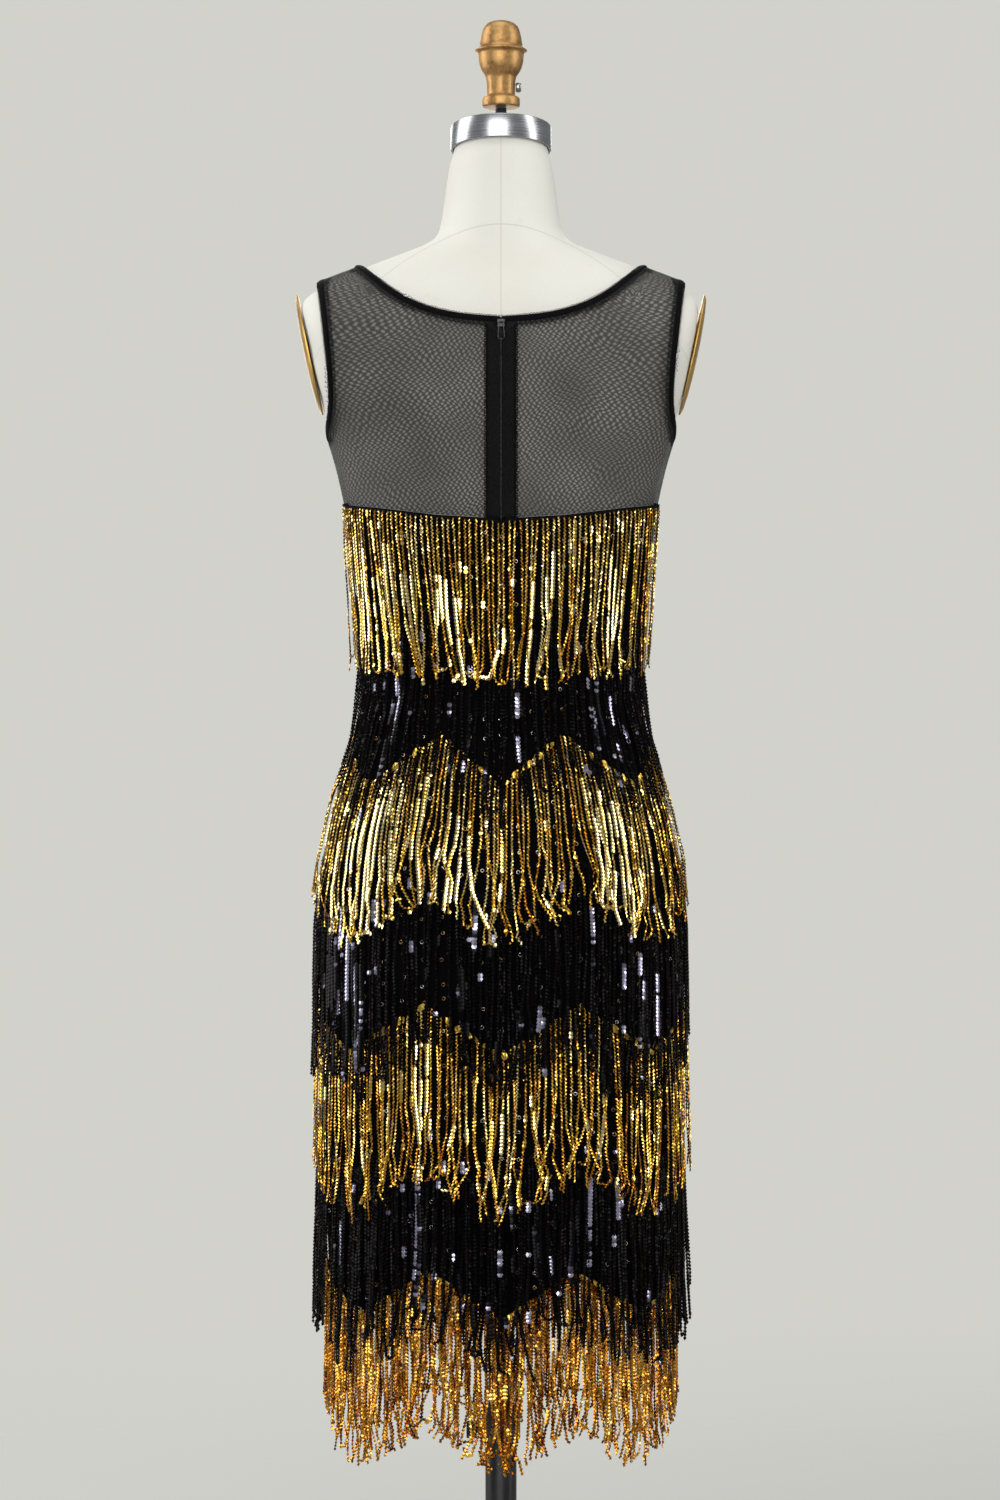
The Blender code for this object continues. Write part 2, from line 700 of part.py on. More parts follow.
def build_zip(back):
    """Tapes under the centre-back seam, the slider on its outside and the wire pull."""
    middle = [(row[0], row[1]) for row in back[::-1]]
    body = [(cloth_columns[0][k][1:], cloth_columns[1][k][1:]) for k in range(1, len(cloth_columns[0]))]
    line = [pair for pair in middle + body if ZIP_END_HEIGHT < pair[0][0].z < ZIP_TOP_HEIGHT]
    # The tapes end just below the cloth's top edge.
    share = (middle[0][0][0].z - ZIP_TOP_HEIGHT) / (middle[0][0][0].z - middle[1][0][0].z)
    line.insert(0, tuple((a.lerp(b, share), n.lerp(m, share)) for (a, n), (b, m) in zip(*middle[:2])))
    left = []
    for (first, normal), (second, _) in line:
        across = (second - first).normalized()
        under = CLOTH_WALL + ZIP_TAPE_GAP
        near = first + across * SEAM_GAP - normal * under
        far = first + across * (SEAM_GAP + ZIP_TAPE_WIDTH) - normal * under
        left.append((near, far, far - normal * ZIP_TAPE_WALL, near - normal * ZIP_TAPE_WALL))
    loft("zip_tape_left", left, black_tape, smooth=False)
    right = [tuple(mirrored(section)) for section in left]
    loft("zip_tape_right", right, black_tape, smooth=False)

    # The slider lies flat on the cloth, with a lug at each end of the pull's bar.
    normal = figure_normal(0, SLIDER_HEIGHT)
    up = Vector((0, -normal.z, normal.y))
    seat = skin(0, SLIDER_HEIGHT, SEAM_GAP)
    frame = Matrix((
        (1, 0, 0, seat.x),
        (0, normal.y, up.y, seat.y),
        (0, normal.z, up.z, seat.z),
        (0, 0, 0, 1),
    ))
    bar_out = SLIDER_WALL + 0.0010
    lug_top = bar_out + 0.0008
    lug_inner = PULL_HALF_WIDTH + SEAM_GAP
    half_width = lug_inner + 0.0006
    sections = []
    for x, tall in (
        (-half_width, lug_top),
        (-lug_inner - 0.0001, lug_top),
        (-lug_inner, SLIDER_WALL + 0.0001),
        (lug_inner, SLIDER_WALL + 0.0001),
        (lug_inner + 0.0001, lug_top),
        (half_width, lug_top),
    ):
        outline = (
            (0, -SLIDER_HALF_LENGTH),
            (SLIDER_WALL, -SLIDER_HALF_LENGTH),
            (SLIDER_WALL, -0.0006),
            (tall, -0.0004),
            (tall, 0.0012),
            (SLIDER_WALL, 0.0014),
            (SLIDER_WALL, SLIDER_HALF_LENGTH),
            (0, SLIDER_HALF_LENGTH),
        )
        sections.append([frame @ Vector((x, y, z)) for y, z in outline])
    loft("zip_slider", sections, black_metal, smooth=False)

    # The pull is a wire drop that hangs from its bar, and turns about it.
    pivot = frame @ Vector((0, bar_out, 0.0004))
    hinge = bpy.data.objects.new("zip_pull_axis", None)
    hinge.location = pivot
    dress_collection.objects.link(hinge)
    curve = bpy.data.curves.new("zip_pull", "CURVE")
    curve.dimensions = "3D"
    curve.bevel_depth = PULL_WIRE
    curve.bevel_resolution = 1
    spline = curve.splines.new("POLY")
    bar = PULL_HALF_WIDTH - PULL_WIRE
    points = [(-bar, 0), (bar, 0)]
    turns = 8
    bulb = PULL_HALF_WIDTH * 1.25
    for k in range(turns + 1):
        angle = math.pi * k / turns
        points.append((bulb * math.cos(angle), bulb - PULL_LENGTH - bulb * math.sin(angle)))
    spline.points.add(len(points) - 1)
    for point, (x, z) in zip(spline.points, points):
        point.co = (x, 0, z, 1)
    spline.use_cyclic_u = True
    curve.materials.append(black_metal)
    pull = bpy.data.objects.new("zip_pull", curve)
    pull.parent = hinge
    pull.rotation_euler = (math.atan2(normal.z, normal.y), 0, 0)
    dress_collection.objects.link(pull)


# ---------------------------------------------------------------- fringe

def lock_section(tier, column, root, share, length):
    """The four corners of a lock, this share of the way down from its tape."""
    spread = LOCK_SPREAD * min(1.0, share / 0.4)
    out = TAPE_GAP + tier["sway"] * share
    wall = LOCK_WALL * (1 - 0.3 * share)
    corners = []
    for edge, depth in (
        (column - spread, out),
        (column - spread, out + wall),
        (column + 1 + spread, out + wall),
        (column + 1 + spread, out),
    ):
        top = root(edge) - TAPE_HEIGHT
        corners.append(hanging(edge, top, top - length * share, depth, tier["droop"]))
    return corners


def build_fringe(index):
    """One tier: a tape round the body, with a four-sided lock under every other cell."""
    tier = dict(zip(TIER_COLUMNS, TIERS[index]))
    phase = index % 2
    parts = tier["parts"]

    def root(column):
        return tier_line(index, column % COLUMNS)

    ends = 0.03 if parts else 0.0
    stops = [float(column) for column in range(COLUMNS + (1 if parts else 0))]
    if parts:
        stops[0] += ends
        stops[-1] -= ends
    bm = bmesh.new()
    ribs = []
    for stop in stops:
        top = root(stop)
        bottom = top - TAPE_HEIGHT
        ribs.append([
            bm.verts.new(cloth_at(stop, height, out))
            for height, out in (
                (top, TAPE_GAP),
                (top, TAPE_GAP + TAPE_WALL),
                (bottom, TAPE_GAP + TAPE_WALL),
                (bottom, TAPE_GAP),
            )
        ])
    for cell in range(COLUMNS):
        first = ribs[cell]
        second = ribs[(cell + 1) % len(ribs)]
        for a, b in ((0, 1), (1, 2), (3, 0)):
            bm.faces.new((first[a], first[b], second[b], second[a]))
        if cell % 2 != phase:
            bm.faces.new((first[2], first[3], second[3], second[2]))
            continue
        ring = [first[3], first[2], second[2], second[3]]
        uneven = 1 + 0.035 * math.sin(cell * 2.4 + index)
        for share in tier["steps"]:
            corners = lock_section(tier, cell, root, share, (tier["length"] - TAPE_HEIGHT) * uneven)
            if parts and cell == 0:
                corners[0] = corners[0].lerp(corners[3], 0.03)
                corners[1] = corners[1].lerp(corners[2], 0.03)
            lower = [bm.verts.new(corner) for corner in corners]
            for k in range(4):
                after = (k + 1) % 4
                bm.faces.new((ring[k], ring[after], lower[after], lower[k]))
            ring = lower
        bm.faces.new(ring)
    if parts:
        bm.faces.new(ribs[0])
        bm.faces.new(ribs[-1])
    bmesh.ops.recalc_face_normals(bm, faces=bm.faces)
    material = gold_beads if tier["colour"] == "gold" else black_beads
    object_from_bmesh(tier["name"], bm, material, smooth=False)


# ---------------------------------------------------------------- dress form

def plate_plane(height):
    """How far out the arm plate's plane lies."""
    return PLATE_TOP_X - PLATE_SLOPE * (PLATE_TOP - height)


def build_form():
    sections = []
    for height in FORM_HEIGHTS:
        tilt = NECK_TILT * min(1.0, max(0.0, (height - 1.50) / 0.07))
        shift = figure_at(height)["shift"]
        section = []
        for k in range(FORM_SEGMENTS):
            point = figure_point(2 * math.pi * k / FORM_SEGMENTS, height)
            if height > UNDERARM_HEIGHT:
                edge = plate_plane(height)
                point.x = max(-edge, min(edge, point.x))
            point.z += math.tan(tilt) * (point.y - shift)
            section.append(point)
        sections.append(section)
    loft("form_torso", sections, linen)


def build_arm_plates():
    """A shallow brass dome on each arm face."""
    height = (PLATE_TOP + PLATE_BOTTOM) / 2
    half_height = (PLATE_TOP - PLATE_BOTTOM) / 2
    lean = math.atan(PLATE_SLOPE)
    steps = 4
    profile = [(0.0, PLATE_DOME)]
    for k in range(1, steps + 1):
        angle = math.pi / 2 * k / steps
        profile.append((math.sin(angle), 0.0012 + (PLATE_DOME - 0.0012) * math.cos(angle)))
    profile += [(1.0, 0.0), (0.0, 0.0)]
    for name, side in (("arm_plate_left", 1), ("arm_plate_right", -1)):
        plate = turned(name, profile, brass, segments=24)
        turn = Matrix.Rotation(side * (math.pi / 2 + lean), 4, "Y")
        out = turn @ Vector((0, 0, 1))
        centre = Vector((side * plate_plane(height), 0, height)) + out * SEAM_GAP
        size = Matrix.Diagonal((half_height / math.cos(lean), PLATE_HALF_DEPTH, 1, 1))
        plate.matrix_world = Matrix.Translation(centre) @ turn @ size


def build_neck():
    """The steel ring and cap on the neck, the rod out of it, and the knob."""
    shift = figure_at(NECK_TOP)["shift"]
    tilt = (NECK_TILT, 0, 0)
    axis = Matrix.Rotation(NECK_TILT, 3, "X") @ Vector((0, 0, 1))
    top = Vector((0, shift, NECK_TOP))
    cap_wall = 0.004
    ring_top = top + axis * (cap_wall + SEAM_GAP)
    ring = pipe_profile(NECK_RING_INNER, NECK_RING_OUTER, -NECK_RING_HEIGHT, 0)
    turned("neck_ring", ring, steel, ring_top, tilt, segments=32, ring=True)
    cap = rod_profile(NECK_RING_INNER - SEAM_GAP, 0, cap_wall)
    turned("neck_cap", cap, steel, top + axis * SEAM_GAP, tilt, segments=32)
    # The upright rod clears the tilted cap by its own radius times the tilt.
    rod_foot = ring_top + Vector((0, 0, SEAM_GAP + ROD_RADIUS * math.tan(NECK_TILT)))
    rod = rod_profile(ROD_RADIUS, 0, KNOB_FOOT - SEAM_GAP - rod_foot.z)
    turned("neck_rod", rod, black_metal, rod_foot, segments=12)
    turned("neck_knob", KNOB_PROFILE, cast_gold, (0, rod_foot.y, KNOB_FOOT), segments=20)
    screw = rod_profile(0.0046, 0, 0.0052, edge=0.0008)
    reach = Vector((-KNOB_STEM_RADIUS - SEAM_GAP, rod_foot.y, KNOB_FOOT + 0.0190))
    turned("knob_screw", screw, steel, reach, (0, -math.pi / 2, 0), segments=12)


# ---------------------------------------------------------------- stand

def build_stand():
    base = (
        (0.0, BASE_TOP),
        (0.024, BASE_TOP),
        (0.028, BASE_TOP - 0.018),
        (0.034, BASE_THICKNESS),
        (BASE_RADIUS - 0.004, BASE_THICKNESS - 0.004),
        (BASE_RADIUS, BASE_THICKNESS - 0.008),
        (BASE_RADIUS, 0.0),
        (0.0, 0.0),
    )
    turned("base_plate", base, black_paint, segments=40)
    pole = pipe_profile(OUTER_POLE_BORE, OUTER_POLE_RADIUS, BASE_TOP + SEAM_GAP, OUTER_POLE_TOP)
    turned("pole_outer", pole, black_paint, segments=20, ring=True)
    inner = rod_profile(INNER_POLE_RADIUS, INNER_POLE_BOTTOM, FORM_BOTTOM - SEAM_GAP)
    turned("pole_inner", inner, black_paint, segments=20)
    # The collar sits on the outer pole and turns in over its rim.
    outer_gap = OUTER_POLE_RADIUS + SEAM_GAP
    inner_gap = INNER_POLE_RADIUS + SEAM_GAP
    collar = (
        (COLLAR_RADIUS, COLLAR_TOP - 0.0012),
        (COLLAR_RADIUS, COLLAR_BOTTOM + 0.001),
        (COLLAR_RADIUS - 0.001, COLLAR_BOTTOM),
        (outer_gap, COLLAR_BOTTOM),
        (outer_gap, OUTER_POLE_TOP + SEAM_GAP),
        (inner_gap, OUTER_POLE_TOP + SEAM_GAP),
        (inner_gap, COLLAR_TOP),
        (COLLAR_RADIUS - 0.0012, COLLAR_TOP),
    )
    turned("pole_collar", collar, black_paint, segments=20, ring=True)
    knob = (
        (0.0, 0.0140), (0.0070, 0.0140), (0.0080, 0.0130), (0.0080, 0.0052), (0.0070, 0.0042),
        (0.0032, 0.0042), (0.0032, 0.0), (0.0, 0.0),
    )
    place = Vector((COLLAR_RADIUS + SEAM_GAP, 0, CLAMP_HEIGHT))
    turned("clamp_knob", knob, black_metal, place, (0, math.pi / 2, 0), segments=12)


clear_scene()
dress_collection = bpy.data.collections.new("flapper_dress")
bpy.context.scene.collection.children.link(dress_collection)

black_cloth = make_material("black_cloth", (0.012, 0.012, 0.014), 0.75)
sheer_mesh = make_material("sheer_mesh", (0.055, 0.055, 0.055), 0.8)
black_binding = make_material("black_binding", (0.010, 0.010, 0.012), 0.6)
black_tape = make_material("black_tape", (0.009, 0.009, 0.010), 0.7)
black_metal = make_material("black_metal", (0.02, 0.02, 0.02), 0.35, 0.8)
gold_beads = make_material("gold_beads", (0.72, 0.43, 0.08), 0.28, 0.9)
black_beads = make_material("black_beads", (0.015, 0.014, 0.018), 0.25, 0.3)
linen = make_material("linen", (0.78, 0.75, 0.67), 0.7)
brass = make_material("brass", (0.50, 0.30, 0.08), 0.4, 0.8)
steel = make_material("steel", (0.55, 0.56, 0.57), 0.3, 1.0)
cast_gold = make_material("cast_gold", (0.48, 0.26, 0.10), 0.42, 0.9)
black_paint = make_material("black_paint", (0.012, 0.012, 0.012), 0.5)

cloth_columns = build_cloth_columns()
build_form()
build_arm_plates()
build_neck()
build_stand()
build_body()
back_quarter, front_quarter = build_yoke()
build_bindings(back_quarter, front_quarter)
build_zip(back_quarter)
for tier_index in range(len(TIERS)):
    build_fringe(tier_index)
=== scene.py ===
import math

import bmesh
import bpy
import numpy as np
from mathutils import Matrix, Vector, noise
from mathutils.bvhtree import BVHTree


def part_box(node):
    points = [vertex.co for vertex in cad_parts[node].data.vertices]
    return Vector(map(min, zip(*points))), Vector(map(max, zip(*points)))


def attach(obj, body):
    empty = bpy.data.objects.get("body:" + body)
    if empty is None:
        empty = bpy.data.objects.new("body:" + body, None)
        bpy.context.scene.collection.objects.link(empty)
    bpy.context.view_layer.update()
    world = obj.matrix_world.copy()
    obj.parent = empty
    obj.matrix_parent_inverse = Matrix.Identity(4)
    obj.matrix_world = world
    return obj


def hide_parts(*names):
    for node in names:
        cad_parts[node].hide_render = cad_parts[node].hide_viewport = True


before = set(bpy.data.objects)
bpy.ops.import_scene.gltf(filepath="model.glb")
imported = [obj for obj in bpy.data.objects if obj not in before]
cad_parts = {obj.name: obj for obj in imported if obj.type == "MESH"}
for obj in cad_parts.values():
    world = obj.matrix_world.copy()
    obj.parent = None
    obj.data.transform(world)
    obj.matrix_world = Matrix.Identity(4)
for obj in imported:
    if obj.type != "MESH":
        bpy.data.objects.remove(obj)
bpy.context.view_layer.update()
dressBody = "dressed_form"
print("frame loaded")


# reading the frame

def nodeCopy(*names):
    # a merged copy of one or more CAD nodes
    bm = bmesh.new()
    for name in names:
        bm.from_mesh(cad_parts[name].data)
    bmesh.ops.remove_doubles(bm, verts=bm.verts, dist=1e-6)
    bm.normal_update()
    return bm


def nodeTree(*names):
    bm = nodeCopy(*names)
    tree = BVHTree.FromBMesh(bm)
    bm.free()
    return tree


# offset turns the rays a little, so that none goes down a seam's gap
wall = {"angles": 288, "lowest": 0.506, "highest": 1.30, "step": 0.004, "offset": 0.003,
        "outside": 0.5, "clothRay": 0.49, "tierRay": 0.45, "tierStep": 0.001, "tierDrop": 0.08,
        "normalTurn": 0.03, "normalRise": 0.008}
wallAngles = 2 * np.pi * np.arange(wall["angles"]) / wall["angles"]


def rayIn(tree, angle, height, length):
    # where a ray towards the pole meets the tree: angle 0 is the centre back, and a quarter turn is
    # the wearer's left
    turned = angle + wall["offset"]
    out = Vector((math.sin(turned), math.cos(turned), 0))
    return tree.ray_cast(out * wall["outside"] + Vector((0, 0, height)), -out, length)[0]


def measureWall():
    # the cloth's radius about the pole, one row for each height and one column for each angle
    tree = nodeTree("body_back_left", "body_back_right", "body_front",
                    "yoke_back_left", "yoke_back_right", "yoke_front")
    heights = np.arange(wall["lowest"], wall["highest"] + wall["step"] / 2, wall["step"])
    radius = np.zeros((len(heights), wall["angles"]))
    for row, height in enumerate(heights):
        for column, angle in enumerate(wallAngles):
            hit = rayIn(tree, angle, height, wall["clothRay"])
            radius[row, column] = hit.xy.length if hit else np.nan
    # the hem's zigzag leaves gaps in the lowest rows, which take the row above them
    for row in range(len(heights) - 2, -1, -1):
        gaps = np.isnan(radius[row])
        radius[row, gaps] = radius[row + 1, gaps]
    return radius


def wallRadius(angle, height):
    # arrays of angles and heights, read between the measured ones
    across = np.mod(np.asarray(angle) / (2 * np.pi), 1.0) * wall["angles"]
    up = (np.asarray(height) - wall["lowest"]) / wall["step"]
    up = np.clip(up, 0, wallTable.shape[0] - 1.001)
    c0 = np.floor(across).astype(int) % wall["angles"]
    c1 = (c0 + 1) % wall["angles"]
    r0 = np.floor(up).astype(int)
    fc = across - np.floor(across)
    fr = up - r0
    low = wallTable[r0, c0] * (1 - fc) + wallTable[r0, c1] * fc
    high = wallTable[r0 + 1, c0] * (1 - fc) + wallTable[r0 + 1, c1] * fc
    return low * (1 - fr) + high * fr


def wallPoint(angle, height, out=0.0):
    radius = wallRadius(angle, height) + out
    return np.stack((radius * np.sin(angle), radius * np.cos(angle),
                     np.broadcast_to(height, np.shape(radius))), axis=-1)


def unit(vectors):
    return vectors / np.linalg.norm(vectors, axis=-1, keepdims=True)


def wallNormal(angle, height):
    turn, rise = wall["normalTurn"], wall["normalRise"]
    around = wallPoint(angle + turn, height) - wallPoint(angle - turn, height)
    up = wallPoint(angle, height + rise) - wallPoint(angle, height - rise)
    return unit(np.cross(up, around))


def measureTier(name):
    # the tape's top at every angle
    tree = nodeTree(name)
    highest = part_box(name)[1].z
    tops = np.full(wall["angles"], np.nan)
    for column, angle in enumerate(wallAngles):
        for height in np.arange(highest - wall["tierStep"] / 2, highest - wall["tierDrop"],
                                -wall["tierStep"]):
            if rayIn(tree, angle, height, wall["tierRay"]):
                tops[column] = height
                break
    # the tape parts at the zip
    known = ~np.isnan(tops)
    return np.interp(wallAngles, wallAngles[known], tops[known], period=2 * np.pi)


def topAt(tops, angle):
    return np.interp(angle, wallAngles, tops, period=2 * np.pi)


wallTable = measureWall()
print("cloth measured")


# making pieces

def newObject(name, data):
    made = bpy.data.objects.new(name, data)
    bpy.context.scene.collection.objects.link(made)
    return made


def linkPiece(name, mesh, material, slot, body=dressBody, replaces=()):
    piece = newObject(name, mesh)
    mesh.materials.append(material)
    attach(piece, body)
    if replaces:
        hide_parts(*replaces)
    return piece


def meshFrom(bm, name, smooth=True):
    mesh = bpy.data.meshes.new(name)
    bm.to_mesh(mesh)
    bm.free()
    mesh.polygons.foreach_set("use_smooth", [smooth] * len(mesh.polygons))
    return mesh


def softened(mesh, levels):
    # the mesh after a subdivision surface
    thing = newObject("working", mesh)
    modifier = thing.modifiers.new("Softened", "SUBSURF")
    modifier.levels = modifier.render_levels = levels
    modifier.boundary_smooth = "PRESERVE_CORNERS"
    graph = bpy.context.evaluated_depsgraph_get()
    result = bpy.data.meshes.new_from_object(thing.evaluated_get(graph))
    bpy.data.objects.remove(thing)
    return result


def addWall(piece, thickness):
    modifier = piece.modifiers.new("Wall", "SOLIDIFY")
    modifier.thickness = thickness
    modifier.offset = -1
    modifier.use_rim = True


def placedGrid(place, across, along, closed=False):
    # a grid whose vertices are put at place(u, v), with u and v as its UV map; closed joins edges
    # that meet
    bm = bmesh.new()
    bmesh.ops.create_grid(bm, x_segments=across, y_segments=along, size=0.5)
    uv = bm.loops.layers.uv.new("UVMap")
    for face in bm.faces:
        for loop in face.loops:
            loop[uv].uv = (loop.vert.co.x + 0.5, loop.vert.co.y + 0.5)
    for vert in bm.verts:
        vert.co = place(vert.co.x + 0.5, vert.co.y + 0.5)
    if closed:
        bmesh.ops.remove_doubles(bm, verts=bm.verts, dist=1e-6)
    bmesh.ops.recalc_face_normals(bm, faces=bm.faces)
    return bm


def readVerts(mesh):
    points = np.empty(len(mesh.vertices) * 3)
    mesh.vertices.foreach_get("co", points)
    normals = np.empty(len(mesh.vertices) * 3)
    mesh.vertices.foreach_get("normal", normals)
    return points.reshape(-1, 3), normals.reshape(-1, 3)


def stampPiece(name, template, points, ways, shades, *finish, smooth=True, **rest):
    # one piece with a copy of the template at every point, its X, Y and Z along the three ways
    corners = np.array([vert.co for vert in template.verts])
    faces = [[vert.index for vert in face.verts] for face in template.faces]
    template.free()
    count, size = len(points), len(corners)
    places = points[:, None, :]
    for axis, way in enumerate(ways):
        places = places + corners[None, :, axis, None] * way[:, None, :]
    loops = (np.concatenate(faces)[None, :] + np.arange(count)[:, None] * size).ravel()
    totals = np.tile([len(face) for face in faces], count)
    starts = np.concatenate(([0], np.cumsum(totals)[:-1]))
    mesh = bpy.data.meshes.new(name)
    mesh.vertices.add(count * size)
    mesh.vertices.foreach_set("co", places.ravel().astype(np.float32))
    mesh.loops.add(len(loops))
    mesh.loops.foreach_set("vertex_index", loops.astype(np.int32))
    mesh.polygons.add(len(totals))
    mesh.polygons.foreach_set("loop_start", starts.astype(np.int32))
    mesh.update(calc_edges=True)
    shade = mesh.attributes.new("shade", "FLOAT", "POINT")
    shade.data.foreach_set("value", np.repeat(shades, size).astype(np.float32))
    if not smooth:
        mesh.polygons.foreach_set("use_smooth", [False] * len(totals))
    print(name, len(totals), "faces")
    return linkPiece(name, mesh, *finish, **rest)


# materials

def node(tree, kind, values=None, **settings):
    # a shader node with its settings, and its inputs set or linked
    made = tree.nodes.new(kind)
    for key, value in settings.items():
        setattr(made, key, value)
    for key, value in (values or {}).items():
        if isinstance(value, bpy.types.NodeSocket):
            tree.links.new(value, made.inputs[key])
        else:
            made.inputs[key].default_value = value
    return made


def link(tree, target, **sources):
    # each source goes to the target's input of that name
    for name, source in sources.items():
        tree.links.new(source, target.inputs[name.replace("_", " ")])


def maths(tree, operation, *values, clamp=False):
    return node(tree, "ShaderNodeMath", dict(enumerate(values)), operation=operation,
                use_clamp=clamp).outputs[0]


def between(tree, value, low, high, toLow=0.0, toHigh=1.0, **settings):
    return node(tree, "ShaderNodeMapRange", {"Value": value, "From Min": low, "From Max": high,
                                            "To Min": toLow, "To Max": toHigh},
                **settings).outputs["Result"]


def noiseOf(tree, vector, scale, detail):
    return node(tree, "ShaderNodeTexNoise", {"Vector": vector, "Scale": scale,
                                            "Detail": detail}).outputs["Fac"]


def mixed(tree, share, first, second):
    # a colour from the socket first towards the fixed colour second
    return node(tree, "ShaderNodeMix", {"Factor": share, "A": first, "B": (*second, 1)},
                data_type="RGBA").outputs["Result"]


def ramp(tree, fac, stops):
    made = node(tree, "ShaderNodeValToRGB", {0: fac})
    elements = made.color_ramp.elements
    while len(elements) < len(stops):
        elements.new(0.5)
    for element, (position, colour) in zip(elements, stops):
        element.position = position
        element.color = (*colour, 1)
    return made.outputs["Color"]


def bumped(tree, shader, height, strength, distance):
    bump = node(tree, "ShaderNodeBump", {"Height": height, "Strength": strength,
                                        "Distance": distance})
    link(tree, shader, Normal=bump.outputs["Normal"])


def coordinates(tree, kind="Object"):
    return node(tree, "ShaderNodeTexCoord").outputs[kind]


def attribute(tree, name):
    return node(tree, "ShaderNodeAttribute", attribute_name=name).outputs["Fac"]


def newMaterial(name, colour, **values):
    material = bpy.data.materials.new(name)
    material.use_nodes = True
    shader = material.node_tree.nodes["Principled BSDF"]
    shader.inputs["Base Color"].default_value = (*colour, 1)
    for key, value in values.items():
        shader.inputs[key.replace("_", " ")].default_value = value
    material.diffuse_color = (*colour, 1)
    return material, material.node_tree, shader


def newGroup(name, inputs, outputs):
    # a group that takes a place and some numbers, and gives numbers
    tree = bpy.data.node_groups.new(name, "ShaderNodeTree")
    tree.interface.new_socket("Vector", in_out="INPUT", socket_type="NodeSocketVector")
    for socketName, value in inputs.items():
        tree.interface.new_socket(socketName, in_out="INPUT",
                                  socket_type="NodeSocketFloat").default_value = value
    for socketName in outputs:
        tree.interface.new_socket(socketName, in_out="OUTPUT", socket_type="NodeSocketFloat")
    return tree, tree.nodes.new("NodeGroupInput").outputs, tree.nodes.new("NodeGroupOutput")


def placeGroup(tree, group, *values):
    return node(tree, "ShaderNodeGroup", dict(enumerate(values)), node_tree=group).outputs


def mottleGroup():
    # slow patches and fine specks, for stains, wear and castings
    tree, given, end = newGroup("mottle", {"Patch Scale": 20.0, "Speck Scale": 400.0},
                                ("Patches", "Specks", "Both"))
    slow = noiseOf(tree, given["Vector"], given["Patch Scale"], 4.0)
    fine = noiseOf(tree, given["Vector"], given["Speck Scale"], 2.0)
    both = maths(tree, "MULTIPLY_ADD", slow, 0.65, maths(tree, "MULTIPLY", fine, 0.35))
    link(tree, end, Patches=slow, Specks=fine, Both=both)
    return tree


def threadGroup():
    # over and under threads, in a cloth's own UV map in metres
    tree, given, end = newGroup(
        "threads", {"Across Scale": 900.0, "Along Scale": 900.0, "Waviness": 0.6}, ("Threads",))
    parts = node(tree, "ShaderNodeSeparateXYZ", {"Vector": given["Vector"]}).outputs
    drift = noiseOf(tree, given["Vector"], 22.0, 2.0)
    bend = maths(tree, "MULTIPLY", maths(tree, "SUBTRACT", drift, 0.5), given["Waviness"])
    across = maths(tree, "MULTIPLY", parts["X"], given["Across Scale"])
    along = maths(tree, "MULTIPLY_ADD", parts["Y"], given["Along Scale"],
                  maths(tree, "MULTIPLY", bend, 18.0))
    # every other row is shifted half a stitch
    row = maths(tree, "PINGPONG", maths(tree, "MULTIPLY", along, 1 / math.pi), 1.0)
    shifted = maths(tree, "ADD", across, maths(tree, "MULTIPLY", row, math.pi))
    product = maths(tree, "MULTIPLY", maths(tree, "SINE", shifted),
                    maths(tree, "SINE", maths(tree, "MULTIPLY", along, 2.0)))
    link(tree, end, Threads=between(tree, product, -1.0, 1.0))
    return tree


mottle = mottleGroup()
threads = threadGroup()


def makeFinish(name, colour, stops, scales, skin, rough=None, weave=None, **values):
    # a finish mottled between the stops; its skin is of threads, specks or both, with a depth
    material, tree, shader = newMaterial(name, colour, **values)
    patches = placeGroup(tree, mottle, coordinates(tree), *scales)
    link(tree, shader, Base_Color=ramp(tree, patches["Both"], stops))
    if rough:
        link(tree, shader, Roughness=between(tree, patches["Both"], 0.3, 0.7, *rough))
    raised, strength, depth = skin
    height = (placeGroup(tree, threads, coordinates(tree, "UV"), *weave)["Threads"] if weave
              else patches[raised])
    bumped(tree, shader, height, strength, depth)
    return material


# cover, dash and doubled are shares of thread between the dashes, in them and along the bound edges
sheer = {"cover": 0.53, "dash": 0.36, "doubled": 0.36, "knit": (1090.0, 620.0, 0.75),
         "band": (0.0082, 0.0096), "dashFrom": 0.42, "dashTo": 0.80, "slack": 16.0}


def makeSheerMesh():
    # black knitted mesh: the form shows through its staggered rows of holes
    material, tree, shader = newMaterial("sheerMesh", (0.012, 0.012, 0.013), Roughness=0.75,
                                         Specular_IOR_Level=0.15)
    place = coordinates(tree, "UV")
    knit = placeGroup(tree, threads, place, *sheer["knit"])["Threads"]
    slack = between(tree, noiseOf(tree, place, sheer["slack"], 1.0), 0.3, 0.7, 0.75, 1.15)
    doubled = between(tree, attribute(tree, "edgeDistance"), *sheer["band"], 1.0, 0.0)
    dashes = between(tree, knit, sheer["dashFrom"], sheer["dashTo"])
    holes = maths(tree, "MULTIPLY", maths(tree, "MULTIPLY", dashes, slack), sheer["dash"])
    alpha = maths(tree, "ADD", maths(tree, "SUBTRACT", sheer["cover"], holes),
                  maths(tree, "MULTIPLY", doubled, sheer["doubled"]), clamp=True)
    link(tree, shader, Alpha=alpha, Base_Color=ramp(
        tree, knit, [(0.0, (0.002, 0.002, 0.0022)), (1.0, (0.010, 0.010, 0.0105))]))
    bumped(tree, shader, knit, 0.4, 0.0004)
    return material


